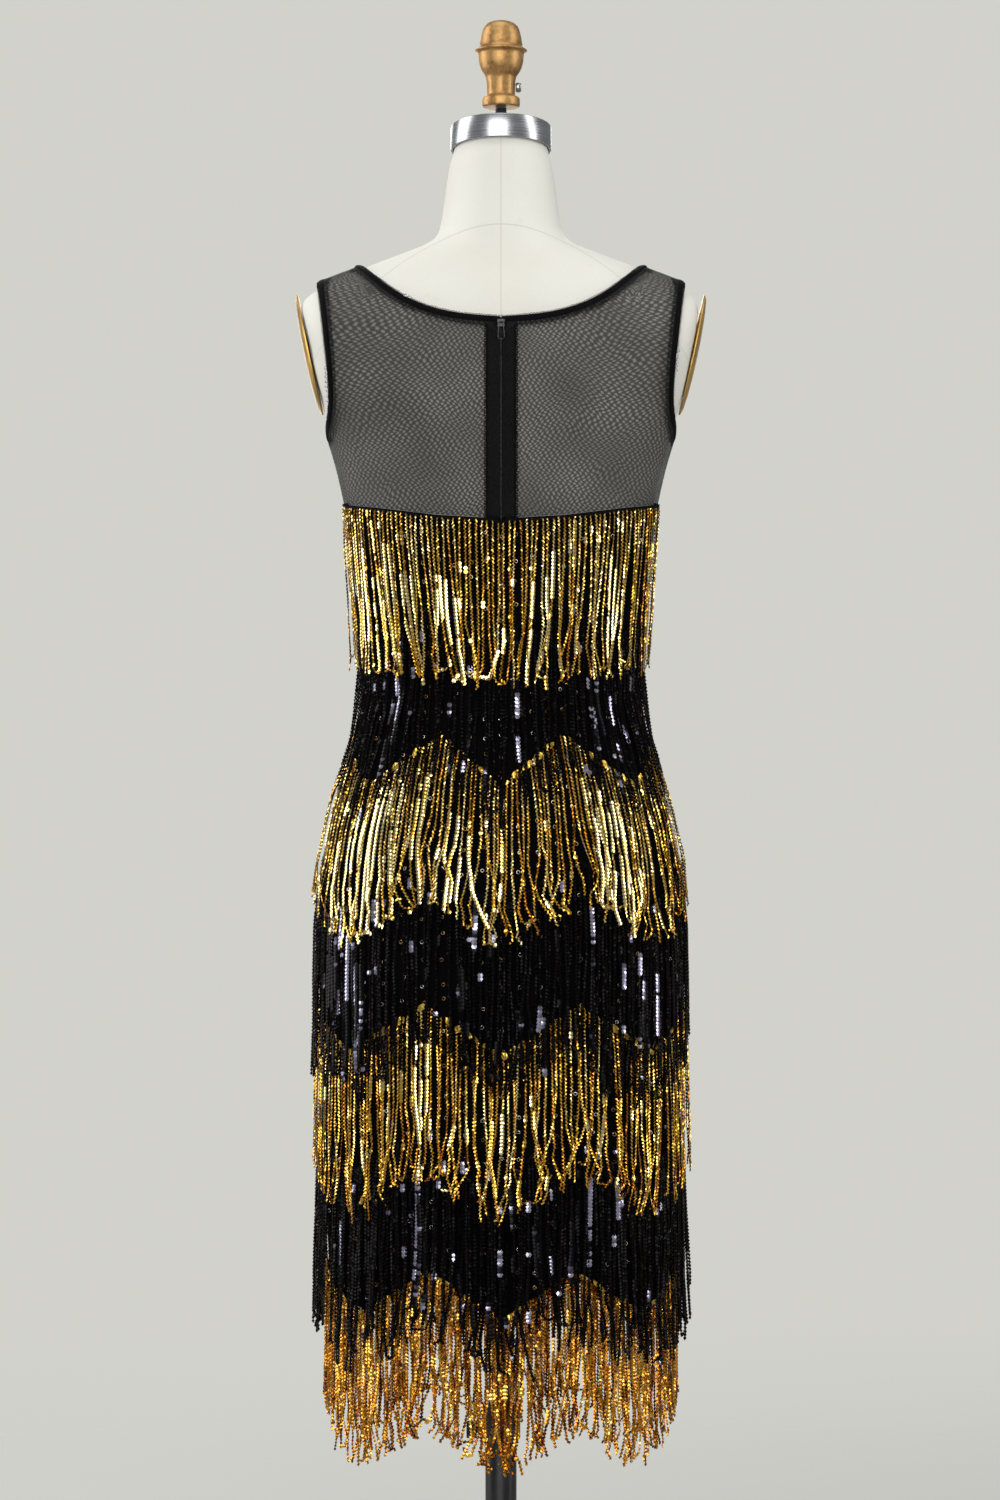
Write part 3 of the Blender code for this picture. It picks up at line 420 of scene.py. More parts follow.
def makeZipTape():
    material, tree, shader = newMaterial("zipTape", (0.002, 0.0025, 0.003), Roughness=0.7,
                                         Specular_IOR_Level=0.04)
    ribs = node(tree, "ShaderNodeTexWave", {"Vector": coordinates(tree), "Scale": 620.0},
                wave_type="BANDS", bands_direction="Z").outputs["Fac"]
    link(tree, shader, Base_Color=ramp(
        tree, ribs, [(0.2, (0.001, 0.001, 0.0015)), (0.9, (0.0035, 0.0045, 0.0055))]))
    bumped(tree, shader, ribs, 0.35, 0.0003)
    return material


def makeSequins(name, stops, roughness, metallic, coat, foil=None, specular=0.2):
    # pressed discs: each has a shade of its own, with fine scuffs, and foil shows on the palest,
    # which are mostly the flat sequins made paler as painted highlight
    material, tree, shader = newMaterial(name, stops[1][1], Metallic=metallic, Coat_Weight=coat,
                                         Coat_Roughness=0.06, Specular_IOR_Level=specular)
    patches = placeGroup(tree, mottle, coordinates(tree), 60.0, 900.0)
    tone = maths(tree, "MULTIPLY_ADD", attribute(tree, "shade"), 0.85,
                 maths(tree, "MULTIPLY", patches["Patches"], 0.15))
    # painted shade: the sides of a disc that turn away from the eye get a darker base colour,
    # darkest at grazing
    facing = node(tree, "ShaderNodeLayerWeight", {"Blend": 0.5}).outputs["Facing"]
    paintedEdgeShade = between(tree, facing, 0.30, 0.75, 0.0, 0.80)
    link(tree, shader, Base_Color=mixed(tree, paintedEdgeShade, ramp(tree, tone, stops), (0.010, 0.004, 0.001)),
         Roughness=between(tree, patches["Specks"], 0.3, 0.7, roughness * 0.7, roughness * 1.35))
    if foil:
        link(tree, shader, Metallic=between(tree, tone, *foil, 0.0, 0.9))
    return material


linenMarks = {"seamWidth": 0.00045, "neckSeamHeight": 1.5045, "neckSeamDrop": 4.2,
              "footWider": 1.3, "seamShade": 0.35, "spotScale": 38.0, "spots": (0.66, 0.80),
              "stain": (0.56, 0.49, 0.34), "thread": (0.34, 0.31, 0.25),
              "light": (0.675, 0.664, 0.600), "deep": (0.620, 0.604, 0.533)}


def makeLinen():
    # cream cover with a seam down the middle of the back and one round the foot of the neck
    marks = linenMarks
    material, tree, shader = newMaterial("linen", marks["light"], Roughness=0.72,
                                         Sheen_Weight=0.15)
    place = coordinates(tree)
    parts = node(tree, "ShaderNodeSeparateXYZ", {"Vector": place}).outputs
    patches = placeGroup(tree, mottle, place, 9.0, 900.0)
    cloth = ramp(tree, patches["Both"], [(0.35, marks["deep"]), (0.65, marks["light"])])
    spots = between(tree, noiseOf(tree, place, marks["spotScale"], 3.0), *marks["spots"], 0.0, 0.55)
    middle = maths(tree, "LESS_THAN", maths(tree, "ABSOLUTE", parts["X"]), marks["seamWidth"])
    arc = maths(tree, "MULTIPLY_ADD", maths(tree, "MULTIPLY", parts["X"], parts["X"]),
                marks["neckSeamDrop"], maths(tree, "SUBTRACT", parts["Z"], marks["neckSeamHeight"]))
    foot = maths(tree, "LESS_THAN", maths(tree, "ABSOLUTE", arc),
                 marks["seamWidth"] * marks["footWider"])
    seams = maths(tree, "MAXIMUM", middle, foot)
    link(tree, shader, Base_Color=mixed(
        tree, maths(tree, "MULTIPLY", seams, marks["seamShade"]),
        mixed(tree, spots, cloth, marks["stain"]), marks["thread"]))
    bumped(tree, shader, maths(tree, "SUBTRACT", patches["Specks"], seams), 0.18, 0.0006)
    return material


def makeSteel():
    # brushed round its axis
    material, tree, shader = newMaterial("brushedSteel", (0.40, 0.41, 0.42), Metallic=1.0)
    stretch = node(tree, "ShaderNodeMapping", {"Vector": coordinates(tree),
                                              "Scale": (6.0, 6.0, 1500.0)}).outputs["Vector"]
    lines = noiseOf(tree, stretch, 1.0, 3.0)
    link(tree, shader, Roughness=between(tree, lines, 0.3, 0.7, 0.20, 0.32), Base_Color=ramp(
        tree, lines, [(0.3, (0.32, 0.33, 0.345)), (0.7, (0.47, 0.48, 0.49))]))
    bumped(tree, shader, lines, 0.05, 0.0002)
    return material


def makeMetal(name, stops, rough, metallic, grain, scales=(45.0, 520.0)):
    # a cast, plated or painted metal with a slightly uneven skin
    return makeFinish(name, stops[-1][1], stops, scales, ("Both", grain, 0.001), rough,
                      Metallic=metallic)


blackCloth = makeFinish(
    "blackCloth", (0.002, 0.002, 0.0025),
    [(0.3, (0.0010, 0.0010, 0.0012)), (0.7, (0.0030, 0.0029, 0.0034))], (14.0, 700.0),
    ("Threads", 0.4, 0.0003), weave=(4200.0, 2100.0, 0.1), Roughness=0.85, Specular_IOR_Level=0.02)
blackBinding = makeFinish(
    "blackBinding", (0.002, 0.002, 0.0025),
    [(0.3, (0.0008, 0.0008, 0.0010)), (0.75, (0.0035, 0.0035, 0.0040))], (90.0, 1800.0),
    ("Specks", 0.6, 0.0004), Roughness=0.7, Specular_IOR_Level=0.05)
goldTape = makeFinish(
    "goldTape", (0.62, 0.38, 0.06),
    [(0.3, (0.50, 0.27, 0.03)), (0.55, (0.82, 0.56, 0.08)), (0.8, (1.0, 0.80, 0.26))],
    (70.0, 1200.0), ("Threads", 0.3, 0.0003), (0.22, 0.36), (3000.0, 60.0, 0.2), Metallic=0.85,
    Sheen_Weight=0.2)
sheerMesh = makeSheerMesh()
zipTape = makeZipTape()
linen = makeLinen()
brushedSteel = makeSteel()
goldSequins = makeSequins(
    "goldSequins",
    [(0.15, (0.46, 0.17, 0.012)), (0.5, (0.86, 0.50, 0.065)), (0.85, (1.0, 0.82, 0.37))],
    0.15, 1.0, 0.1)
# the hem's sequins are darker and more orange than those above; part of this darkness is painted
# shade for the shadows between its strands
hemSequinsAndShade = makeSequins(
    "hemSequinsAndShade",
    [(0.15, (0.12, 0.025, 0.002)), (0.5, (0.60, 0.24, 0.020)), (0.85, (0.95, 0.58, 0.11))],
    0.18, 1.0, 0.0)
# painted highlight: the lilac palest stop and the foil are reached only by the flat black sequins
blackSequins = makeSequins(
    "blackSequins", [(0.3, (0.0010, 0.0009, 0.0012)), (0.72, (0.0030, 0.0027, 0.0038)),
                     (0.86, (0.42, 0.40, 0.52))], 0.20, 0.0, 0.03, (0.74, 0.86), 0.05)
ringSequins = makeSequins(
    "ringSequins",
    [(0.25, (0.16, 0.09, 0.03)), (0.55, (0.55, 0.34, 0.12)), (0.9, (0.85, 0.82, 0.88))],
    0.2, 0.9, 0.6)
castGold = makeMetal(
    "castGold",
    [(0.3, (0.209, 0.092, 0.027)), (0.5, (0.418, 0.232, 0.081)), (0.75, (0.570, 0.378, 0.153))],
    (0.36, 0.50), 0.80, 0.35, (70.0, 380.0))
agedBrass = makeMetal("agedBrass", [(0.3, (0.38, 0.22, 0.05)), (0.7, (0.60, 0.38, 0.10))],
                      (0.3, 0.45), 0.85, 0.1)
blackPaint = makeMetal("blackPaint", [(0.3, (0.003, 0.003, 0.003)), (0.7, (0.008, 0.008, 0.008))],
                       (0.30, 0.45), 0.0, 0.08)
blackMetal = makeMetal("blackMetal", [(0.3, (0.020, 0.020, 0.022)), (0.7, (0.060, 0.060, 0.064))],
                       (0.14, 0.26), 0.7, 0.08)
print("materials made")


# the cloth panels

cloth = {"wall": 0.0006, "levels": 2, "outward": 0.3, "meanRadius": 0.13, "shoulder": 0.166,
         "levelFrom": 0.45}
formTree = nodeTree("form_torso")

# each panel's flat width, length and area, and its soft troughs and ridges: from one place to
# another, with a width and a height; in the yoke they are drag lines from the zip and the armholes
bodyPanels = {
    "body_back_left": ((0.265, 0.748, 0.151), [
        ((0.060, 0.118, 0.98), (0.075, 0.115, 0.72), 0.010, 0.0016),
        ((0.118, 0.088, 0.86), (0.112, 0.092, 0.56), 0.012, -0.0018),
        ((0.020, 0.106, 1.22), (0.105, 0.070, 1.14), 0.008, 0.0012),
        ((0.035, 0.124, 0.74), (0.030, 0.118, 0.54), 0.009, 0.0015)]),
    "body_back_right": ((0.265, 0.748, 0.151), [
        ((-0.052, 0.120, 0.96), (-0.060, 0.118, 0.70), 0.011, -0.0016),
        ((-0.125, 0.084, 0.88), (-0.130, 0.080, 0.55), 0.012, 0.0018),
        ((-0.018, 0.106, 1.21), (-0.110, 0.066, 1.15), 0.008, 0.0010),
        ((-0.085, 0.105, 0.72), (-0.080, 0.106, 0.53), 0.009, -0.0014)]),
    "body_front": ((0.520, 0.782, 0.312), [
        ((0.080, -0.110, 0.95), (0.092, -0.100, 0.62), 0.012, 0.0016),
        ((-0.070, -0.112, 0.97), (-0.088, -0.102, 0.60), 0.012, -0.0017),
        ((0.010, -0.118, 0.80), (0.004, -0.112, 0.56), 0.010, 0.0015),
        ((0.030, -0.100, 1.16), (0.120, -0.060, 1.10), 0.009, 0.0012),
        ((-0.030, -0.100, 1.15), (-0.125, -0.056, 1.11), 0.009, -0.0012)]),
}
yokePanels = {
    "yoke_back_left": ((0.215, 0.245, 0.039), [
        ((0.012, 0.095, 1.375), (0.110, 0.066, 1.335), 0.007, 0.0010),
        ((0.155, 0.030, 1.300), (0.140, 0.050, 1.250), 0.006, 0.0016),
        ((0.148, 0.040, 1.315), (0.128, 0.058, 1.255), 0.005, -0.0010),
        ((0.012, 0.098, 1.330), (0.085, 0.082, 1.285), 0.008, 0.0009)]),
    "yoke_back_right": ((0.215, 0.245, 0.039), [
        ((-0.012, 0.095, 1.365), (-0.105, 0.068, 1.340), 0.007, 0.0010),
        ((-0.157, 0.028, 1.305), (-0.143, 0.047, 1.250), 0.006, 0.0015),
        ((-0.012, 0.098, 1.320), (-0.090, 0.080, 1.270), 0.008, -0.0009)]),
    "yoke_front": ((0.430, 0.230, 0.061), [
        ((0.150, -0.035, 1.310), (0.100, -0.085, 1.290), 0.009, 0.0014),
        ((-0.152, -0.032, 1.312), (-0.102, -0.084, 1.295), 0.009, 0.0013),
        ((0.060, -0.100, 1.365), (-0.060, -0.100, 1.362), 0.008, 0.0010)]),
}


def outerSkin(name, outward):
    # the faces of a CAD panel that look along outward(centre), as quads
    bm = nodeCopy(name)
    hidden = []
    for face in bm.faces:
        centre = face.calc_center_median()
        if face.normal.dot(outward(centre).normalized()) <= cloth["outward"]:
            hidden.append(face)
    bmesh.ops.delete(bm, geom=hidden, context="FACES")
    bmesh.ops.join_triangles(bm, faces=bm.faces, angle_face_threshold=0.9,
                             angle_shape_threshold=1.5)
    return bm


def crease(mesh, creases):
    points, normals = readVerts(mesh)
    lift = np.zeros(len(points))
    for start, end, width, height in creases:
        line = np.array(end) - np.array(start)
        length = np.linalg.norm(line)
        line = line / length
        offset = points - np.array(start)
        along = offset @ line
        aside = np.linalg.norm(offset - along[:, None] * line, axis=1)
        ends = np.clip(along / length, 0, 1) * np.clip(1 - along / length, 0, 1) * 4
        lift += height * ends * np.exp(-(aside / width) ** 2)
    points += normals * lift[:, None]
    mesh.vertices.foreach_set("co", points.ravel())
    mesh.update()


def mapCloth(mesh, front):
    # U runs round the body and V up it, both in metres; over the shoulders V turns inwards
    points, normals = readVerts(mesh)
    turn = np.arctan2(points[:, 0], -points[:, 1] if front else points[:, 1])
    level = np.clip((normals[:, 2] - cloth["levelFrom"]) / cloth["levelFrom"], 0, 1)
    up = points[:, 2] + level * (cloth["shoulder"] - np.abs(points[:, 0]))
    corner = np.empty(len(mesh.loops), dtype=np.int32)
    mesh.loops.foreach_get("vertex_index", corner)
    places = np.stack((turn[corner] * cloth["meanRadius"], up[corner]), axis=1)
    mesh.uv_layers.new(name="UVMap").data.foreach_set("uv", places.ravel())


def makePanel(name, panel, outward, ending, *finish):
    (width, length, area), creases = panel
    mesh = softened(meshFrom(outerSkin(name, outward), name + ending), cloth["levels"])
    crease(mesh, creases)
    mapCloth(mesh, name.endswith("front"))
    piece = linkPiece(name + ending, mesh, *finish, replaces=[name])
    addWall(piece, cloth["wall"])
    return mesh


for name, panel in bodyPanels.items():
    makePanel(name, panel, lambda centre: Vector((centre.x, centre.y, 0)), "_cloth", blackCloth,
              "black_cloth")
print("body panels made")


def onRight(point):
    return Vector((-point.x, point.y, point.z))


neckCorner = Vector((0.130, 0, 1.470))
backCorner = Vector((0, 0.095, 1.405))
leftArm = (Vector((0.166, 0, 1.460)), Vector((0.1687, 0, 1.318)))
rightArm = tuple(onRight(corner) for corner in leftArm)
# the ends of each panel's bound edges
yokeEnds = {"yoke_back_left": {"neck": (backCorner, neckCorner), "armLeft": leftArm},
            "yoke_back_right": {"neck": (backCorner, onRight(neckCorner)), "armRight": rightArm},
            "yoke_front": {"neck": (neckCorner, onRight(neckCorner)), "armLeft": leftArm,
                           "armRight": rightArm}}


def edgeChain(mesh, start, end):
    # the shorter way along the open edge, as points, normals and ways out of the cloth
    bm = bmesh.new()
    bm.from_mesh(mesh)
    links = {}
    for edge in bm.edges:
        if edge.is_boundary:
            for vert in edge.verts:
                links.setdefault(vert, []).append(edge.other_vert(vert))
    first = min(links, key=lambda vert: (vert.co - start).length)
    loop = [first]
    ahead = links[first][0]
    while ahead is not first:
        loop.append(ahead)
        ahead = [vert for vert in links[ahead] if vert is not loop[-2]][0]
    last = min(range(len(loop)), key=lambda k: (loop[k].co - end).length)
    ways = [loop[:last + 1], [loop[0]] + loop[:last - 1:-1]]
    way = min(ways, key=lambda verts: sum((a.co - b.co).length for a, b in zip(verts, verts[1:])))
    chain = []
    for vert in way:
        inside = sum((face.calc_center_median() for face in vert.link_faces), Vector())
        inside = inside / len(vert.link_faces)
        chain.append((vert.co.copy(), vert.normal.copy(), (vert.co - inside).normalized()))
    bm.free()
    return chain


def markBands(mesh, chains):
    # the distance from the bound edges, which the mesh's material reads
    points = readVerts(mesh)[0]
    near = np.full(len(points), 0.05)
    for chain in chains:
        edge = np.array([place[0] for place in chain])
        for part in range(0, len(points), 4000):
            gap = np.linalg.norm(points[part:part + 4000, None] - edge[None], axis=2).min(axis=1)
            near[part:part + 4000] = np.minimum(near[part:part + 4000], gap)
    band = mesh.attributes.new("edgeDistance", "FLOAT", "POINT")
    band.data.foreach_set("value", near.astype(np.float32))


yokeEdges = {}
for name, panel in yokePanels.items():
    mesh = makePanel(name, panel, lambda centre: centre - formTree.find_nearest(centre)[0], "_mesh",
                     sheerMesh, "sheer_mesh")
    yokeEdges[name] = {edge: edgeChain(mesh, *ends) for edge, ends in yokeEnds[name].items()}
    markBands(mesh, yokeEdges[name].values())
print("yoke made")


# bindings with picot loops along their edges
binding = {"width": 0.0062, "thickness": 0.0026, "sides": 10, "step": 0.003, "inset": 0.0006,
           "overEdge": 0.0012, "squareAside": 0.7, "squareRise": 0.8, "smoothings": 6}
picots = {"pitch": 0.0026, "radius": 0.0009, "wire": 0.00034, "segments": 7, "out": 0.0014,
          "uneven": 0.00015, "fromEnds": 0.001}


def ringTemplate(radius, wire, segments):
    # a three-sided wire turned into a ring that lies flat
    bm = bmesh.new()
    bmesh.ops.create_circle(bm, segments=3, radius=wire,
                            matrix=Matrix.Translation((radius, 0, 0))
                            @ Matrix.Rotation(math.pi / 2, 4, "X"))
    bmesh.ops.spin(bm, geom=bm.verts[:] + bm.edges[:], cent=(0, 0, 0), axis=(0, 0, 1),
                   angle=2 * math.pi, steps=segments, use_merge=True)
    bmesh.ops.recalc_face_normals(bm, faces=bm.faces)
    return bm


def runLength(points):
    # how far along the line each point is
    steps = np.linalg.norm(np.diff(points, axis=0), axis=1)
    return np.concatenate(([0], np.cumsum(steps)))


def tableAt(stops, keys, table):
    # a table's three columns, read at the stops
    return np.stack([np.interp(stops, keys, table[:, k]) for k in range(3)], axis=1)


def smoothedLine(values, passes):
    for _ in range(passes):
        values[1:-1] = (values[:-2] + 2 * values[1:-1] + values[2:]) / 4
    return values


def resampledChain(chain, step, closed=False):
    tables = [np.array(column) for column in zip(*chain)]
    gaps = np.linalg.norm(np.diff(tables[0], axis=0), axis=1)
    keep = np.concatenate(([True], gaps > 1e-5))
    tables = [table[keep] for table in tables]
    length = runLength(tables[0])
    stops = np.linspace(0, length[-1], int(length[-1] / step) + 1)
    points, normals, outs = [tableAt(stops, length, table) for table in tables]
    # a few passes take the corners at the seams out of the directions
    for table in (normals, outs):
        for _ in range(binding["smoothings"]):
            smoothedLine(table, 1)
            if closed:
                table[0] = table[-1] = (table[1] + table[-2]) / 2
    along = np.gradient(points, axis=0)
    if closed:
        along[0] = along[-1] = points[1] - points[-2]
    along = unit(along)
    away = np.cross(normals, along)
    away = unit(away * np.sign(np.sum(away * outs, axis=1, keepdims=True)))
    up = np.cross(along, away)
    up *= np.sign(np.sum(up * normals, axis=1, keepdims=True))
    return points, along, away, up


def makeBand(name, chain, replaced, closed):
    if closed:
        chain = chain + chain[:1]
    tables = points, along, away, up = resampledChain(chain, binding["step"], closed)
    middle = points - away * (binding["width"] / 2 - binding["overEdge"]) - up * binding["inset"]
    rows = len(points) - 1

    def squared(value, power):
        return math.copysign(abs(value) ** power, value)

    def place(u, v):
        k = min(int(v * rows + 0.5), rows)
        aside = squared(math.cos(2 * math.pi * u), binding["squareAside"])
        rise = squared(math.sin(2 * math.pi * u), binding["squareRise"])
        return (middle[k] + away[k] * aside * binding["width"] / 2
                + up[k] * rise * binding["thickness"] / 2)

    bm = placedGrid(place, binding["sides"], rows, closed=True)
    if not closed:
        bmesh.ops.holes_fill(bm, edges=[edge for edge in bm.edges if edge.is_boundary])
        bmesh.ops.recalc_face_normals(bm, faces=bm.faces)
    linkPiece(name, meshFrom(bm, name), blackBinding, "black_binding", replaces=[replaced])

    # each picot loop lies flat against the band's outer edge
    length = runLength(points)
    stops = np.arange(picots["fromEnds"], length[-1] - picots["fromEnds"], picots["pitch"])
    points, along, away, up = [tableAt(stops, length, table) for table in tables]
    rng = np.random.default_rng(len(stops))
    out = picots["out"] + rng.normal(0, picots["uneven"], len(stops))
    stampPiece(name + "_picots", ringTemplate(picots["radius"], picots["wire"], picots["segments"]),
               points + away * out[:, None] - up * binding["inset"], (along, away, up),
               rng.random(len(stops)), blackBinding, "black_binding")


makeBand("neck_band", yokeEdges["yoke_back_left"]["neck"] + yokeEdges["yoke_front"]["neck"]
         + yokeEdges["yoke_back_right"]["neck"][::-1], "neck_binding", False)
for side in ("left", "right"):
    arm = "arm" + side.title()
    makeBand("armhole_band_" + side,
             yokeEdges["yoke_back_" + side][arm] + yokeEdges["yoke_front"][arm][::-1],
             "armhole_binding_" + side, True)
print("bindings made")


# the zip: two tapes under the mesh, with a rounded coil beside the middle
zipper = {"inner": 0.0003, "outer": 0.0138, "near": 0.0012, "far": 0.0128, "shy": 0.0003,
          "raised": 0.002, "wall": 0.0008, "rows": 110, "across": 12, "smoothings": 3,
          "coil": 0.0007, "coilAt": 0.0016, "coilWidth": 0.0011}


def depthAlong(tree, x, heights):
    # the Y of a surface seen from behind, for each height
    hits = [tree.ray_cast(Vector((x, 0.3, height)), Vector((0, -1, 0)))[0] for height in heights]
    found = np.array([hit.y if hit else np.nan for hit in hits])
    known = ~np.isnan(found)
    return np.interp(np.arange(len(found)), np.flatnonzero(known), found[known])


def makeZip():
    low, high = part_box("zip_tape_left")
    heights = np.linspace(low.z + zipper["shy"], high.z + zipper["raised"], zipper["rows"] + 1)
    for side, sideName in ((1, "left"), (-1, "right")):
        tree = nodeTree("zip_tape_" + sideName)
        near, far = (smoothedLine(depthAlong(tree, side * zipper[x], heights),
                                  zipper["smoothings"]) for x in ("near", "far"))

        def place(u, v):
            k = min(int(v * zipper["rows"] + 0.5), zipper["rows"])
            x = zipper["inner"] + (zipper["outer"] - zipper["inner"]) * u
            coil = zipper["coil"] * math.exp(-((x - zipper["coilAt"]) / zipper["coilWidth"]) ** 2)
            return Vector((side * x, near[k] + (far[k] - near[k]) * u + coil, heights[k]))

        bm = placedGrid(place, zipper["across"], zipper["rows"])
        if sum(face.normal.y for face in bm.faces) < 0:
            bmesh.ops.reverse_faces(bm, faces=bm.faces)
        name = "zip_side_" + sideName
        piece = linkPiece(name, meshFrom(bm, name), zipTape, "black_tape",
                          replaces=["zip_tape_" + sideName])
        addWall(piece, zipper["wall"])


makeZip()
print("zip tapes made")

overlock = {"lowest": 1.215, "shy": 0.002, "pitch": 0.0024, "smoothings": 4,
            "rows": ((0.0126, 0.0), (0.0146, 0.5)), "wander": 0.00018, "lean": 0.25,
            "lift": 0.0002, "knot": (0.0021, 0.0017, 0.0011)}


def makeOverlock():
    # two chains of thread down each outer edge of the zip, on the mesh
    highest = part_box("zip_tape_left")[1].z - overlock["shy"]
    heights = np.arange(overlock["lowest"], highest, overlock["pitch"])
    rng = np.random.default_rng(31)
    seats = []
    for side, sideName in ((1, "left"), (-1, "right")):
        tree = nodeTree("yoke_back_" + sideName, "body_back_" + sideName)
        for x, shift in overlock["rows"]:
            at = heights + shift * overlock["pitch"]
            at = at[at < highest]
            depth = smoothedLine(depthAlong(tree, side * x, at), overlock["smoothings"])
            wander = rng.normal(0, overlock["wander"], len(at))
            seats.append(np.stack((np.full(len(at), side * x) + wander,
                                   depth + overlock["lift"], at), axis=1))
    seats = np.concatenate(seats)
    lean = rng.normal(0, overlock["lean"], len(seats))
    level = np.zeros(len(seats))
    ways = (np.stack((np.sin(lean), level, np.cos(lean)), axis=1),
            np.stack((np.cos(lean), level, -np.sin(lean)), axis=1),
            np.tile((0.0, 1.0, 0.0), (len(seats), 1)))
    lump = bmesh.new()
    bmesh.ops.create_icosphere(lump, subdivisions=1, radius=0.5)
    bmesh.ops.scale(lump, vec=overlock["knot"], verts=lump.verts)
    stampPiece("zip_overlock", lump, seats, ways, rng.random(len(seats)), blackBinding,
               "black_binding")


makeOverlock()
for name in ("zip_slider", "zip_pull"):
    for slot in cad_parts[name].material_slots:
        slot.material = blackMetal
print("zip made")


# the fringe: strings of sequins that hang from a zigzag tape in seven tiers
# a zone is where more sequins lie flat: its middle and spread round the body in degrees, a share of
# the strands, and the part of their length
# the tape is folded bits of gold foil, askew and with some missing, or black braid
goldTier = {"finish": goldSequins, "slot": "gold_beads", "palest": math.inf, "lean": 0.0,
            "loops": 0.3, "ragged": 0.0, "sideShort": 0.0,
            "tape": {"height": 0.0045, "piece": 0.010}}
blackTier = {**goldTier, "finish": blackSequins, "slot": "black_beads", "palest": 0.68,
             "loops": 0.2, "clumping": 0.30, "kinks": 0.35, "flats": 0.04, "tone": -0.12,
             "ragged": 0.09}
tiers = {
    "fringe_gold_bust": {
        **goldTier, "seed": 11, "strands": 168, "length": 0.153, "wide": 0.84, "sway": 0.0,
        "droop": 0.52, "clumping": 0.25, "kinks": 0.62, "flats": 0.08, "lean": 0.011, "tone": 0.0,
        "zones": ((66, 12, 0.80, 0.25, 1.0), (30, 5, 0.40, 0.45, 1.0), (0, 6, 0.40, 0.55, 1.0),
                  (-22, 5, 0.40, 0.40, 0.9), (-58, 9, 0.45, 0.30, 0.95))},
    "fringe_black_waist": {
        **blackTier, "seed": 12, "strands": 190, "length": 0.168, "wide": 1.30, "sway": 0.0016,
        "droop": 0.30, "ragged": 0.06,
        "zones": ((53, 8, 0.55, 0.25, 0.80), (-10, 7, 0.30, 0.5, 0.8), (-50, 8, 0.35, 0.3, 0.7))},
    "fringe_gold_hip": {
        **goldTier, "seed": 13, "strands": 186, "length": 0.153, "wide": 0.90, "sway": 0.0060,
        "droop": 0.85, "clumping": 0.40, "kinks": 0.90, "flats": 0.10, "tone": 0.04,
        "zones": ((54, 17, 0.95, 0.20, 1.05), (-48, 9, 0.80, 0.25, 1.0),
                  (18, 10, 0.25, 0.5, 0.95)),
        "tape": {"height": 0.0068, "piece": 0.0135, "askew": 0.25, "missing": 0.30}},
    "fringe_black_hip": {
        **blackTier, "seed": 14, "strands": 220, "length": 0.183, "wide": 1.40, "sway": 0.0040,
        "droop": 0.70,
        "zones": ((63, 11, 0.85, 0.20, 0.80), (40, 7, 0.35, 0.35, 0.9), (12, 4, 0.30, 0.35, 0.7),
                  (-62, 8, 0.35, 0.3, 0.7))},
    "fringe_gold_thigh": {
        **goldTier, "seed": 15, "strands": 196, "length": 0.157, "wide": 0.86, "sway": 0.0050,
        "droop": 0.85, "clumping": 0.50, "kinks": 1.05, "flats": 0.08, "tone": -0.14,
        "zones": ((48, 12, 0.40, 0.15, 0.7), (-42, 9, 0.35, 0.2, 0.7), (5, 12, 0.20, 0.2, 0.6)),
        "tape": {"height": 0.0070, "piece": 0.0095, "askew": 0.30, "missing": 0.42}},
    "fringe_black_hem": {
        **blackTier, "seed": 16, "strands": 270, "length": 0.180, "wide": 1.45, "sway": 0.0085,
        "droop": 0.85, "clumping": 0.40, "kinks": 0.50, "zones": ((40, 10, 0.12, 0.3, 0.8),)},
    "fringe_gold_hem": {
        **goldTier, "finish": hemSequinsAndShade, "seed": 17, "strands": 330, "length": 0.146,
        "wide": 1.20, "sway": 0.0004, "droop": 0.85, "clumping": 0.70, "kinks": 0.80,
        "flats": 0.05, "loops": 0.25, "tone": -0.06, "sideShort": 0.10,
        "zones": ((-40, 10, 0.10, 0.2, 0.8),),
        "tape": {"height": 0.0055, "piece": 0.015, "askew": 0.22, "missing": 0.55}},
}
strand = {"rootJitter": 0.10, "rootHeight": (-0.0006, 0.0004), "lengths": (0.945, 1.012),
          "sideFrom": 0.60, "raggedRow": (34, 0.7), "raggedPair": 0.5,
          "raggedLimits": (-1.3, 0.9), "bendsFrom": 0.42, "bendsOver": 0.58, "bendsMore": 1.1,
          "kink": 0.34, "alike": 0.85, "own": 0.15, "straightens": 0.6, "lean": 0.010,
          "drift": (3, 0.022), "loopEnd": 0.0066, "loopTurn": 1.15, "curls": 0.25,
          "curlTurn": (0.6, 2.4), "curlEnd": 0.010, "turnLength": 0.006, "newGroup": 0.60,
          "closest": 0.006, "drawnFrom": (0.35, 0.85), "drawnOver": 0.25, "drawn": (0.8, 1.0),
          "tiltFrom": 0.1, "tiltOver": 1.35, "rightTilt": 0.3, "tiltMore": 1.2, "clear": 0.75,
          "clearMore": 1.5, "ripple": (5, 0.0008), "tuck": 0.0012, "tuckLength": 0.0028}
sequin = {"pitch": 0.0033, "stand": 0.0024, "layers": 0.0020, "layersOver": 4, "straight": 0.22,
          "edgeOn": (0.00172, 0.00098, 0.00105), "twist": (6, 0.35), "slant": 0.45,
          "flat": (0.00215, 0.00220, 0.00034), "flatTwist": (0.07, 0.03), "overlap": 0.16,
          "flatTilt": 0.02, "jitter": 0.07, "tiltJitter": 1.3}
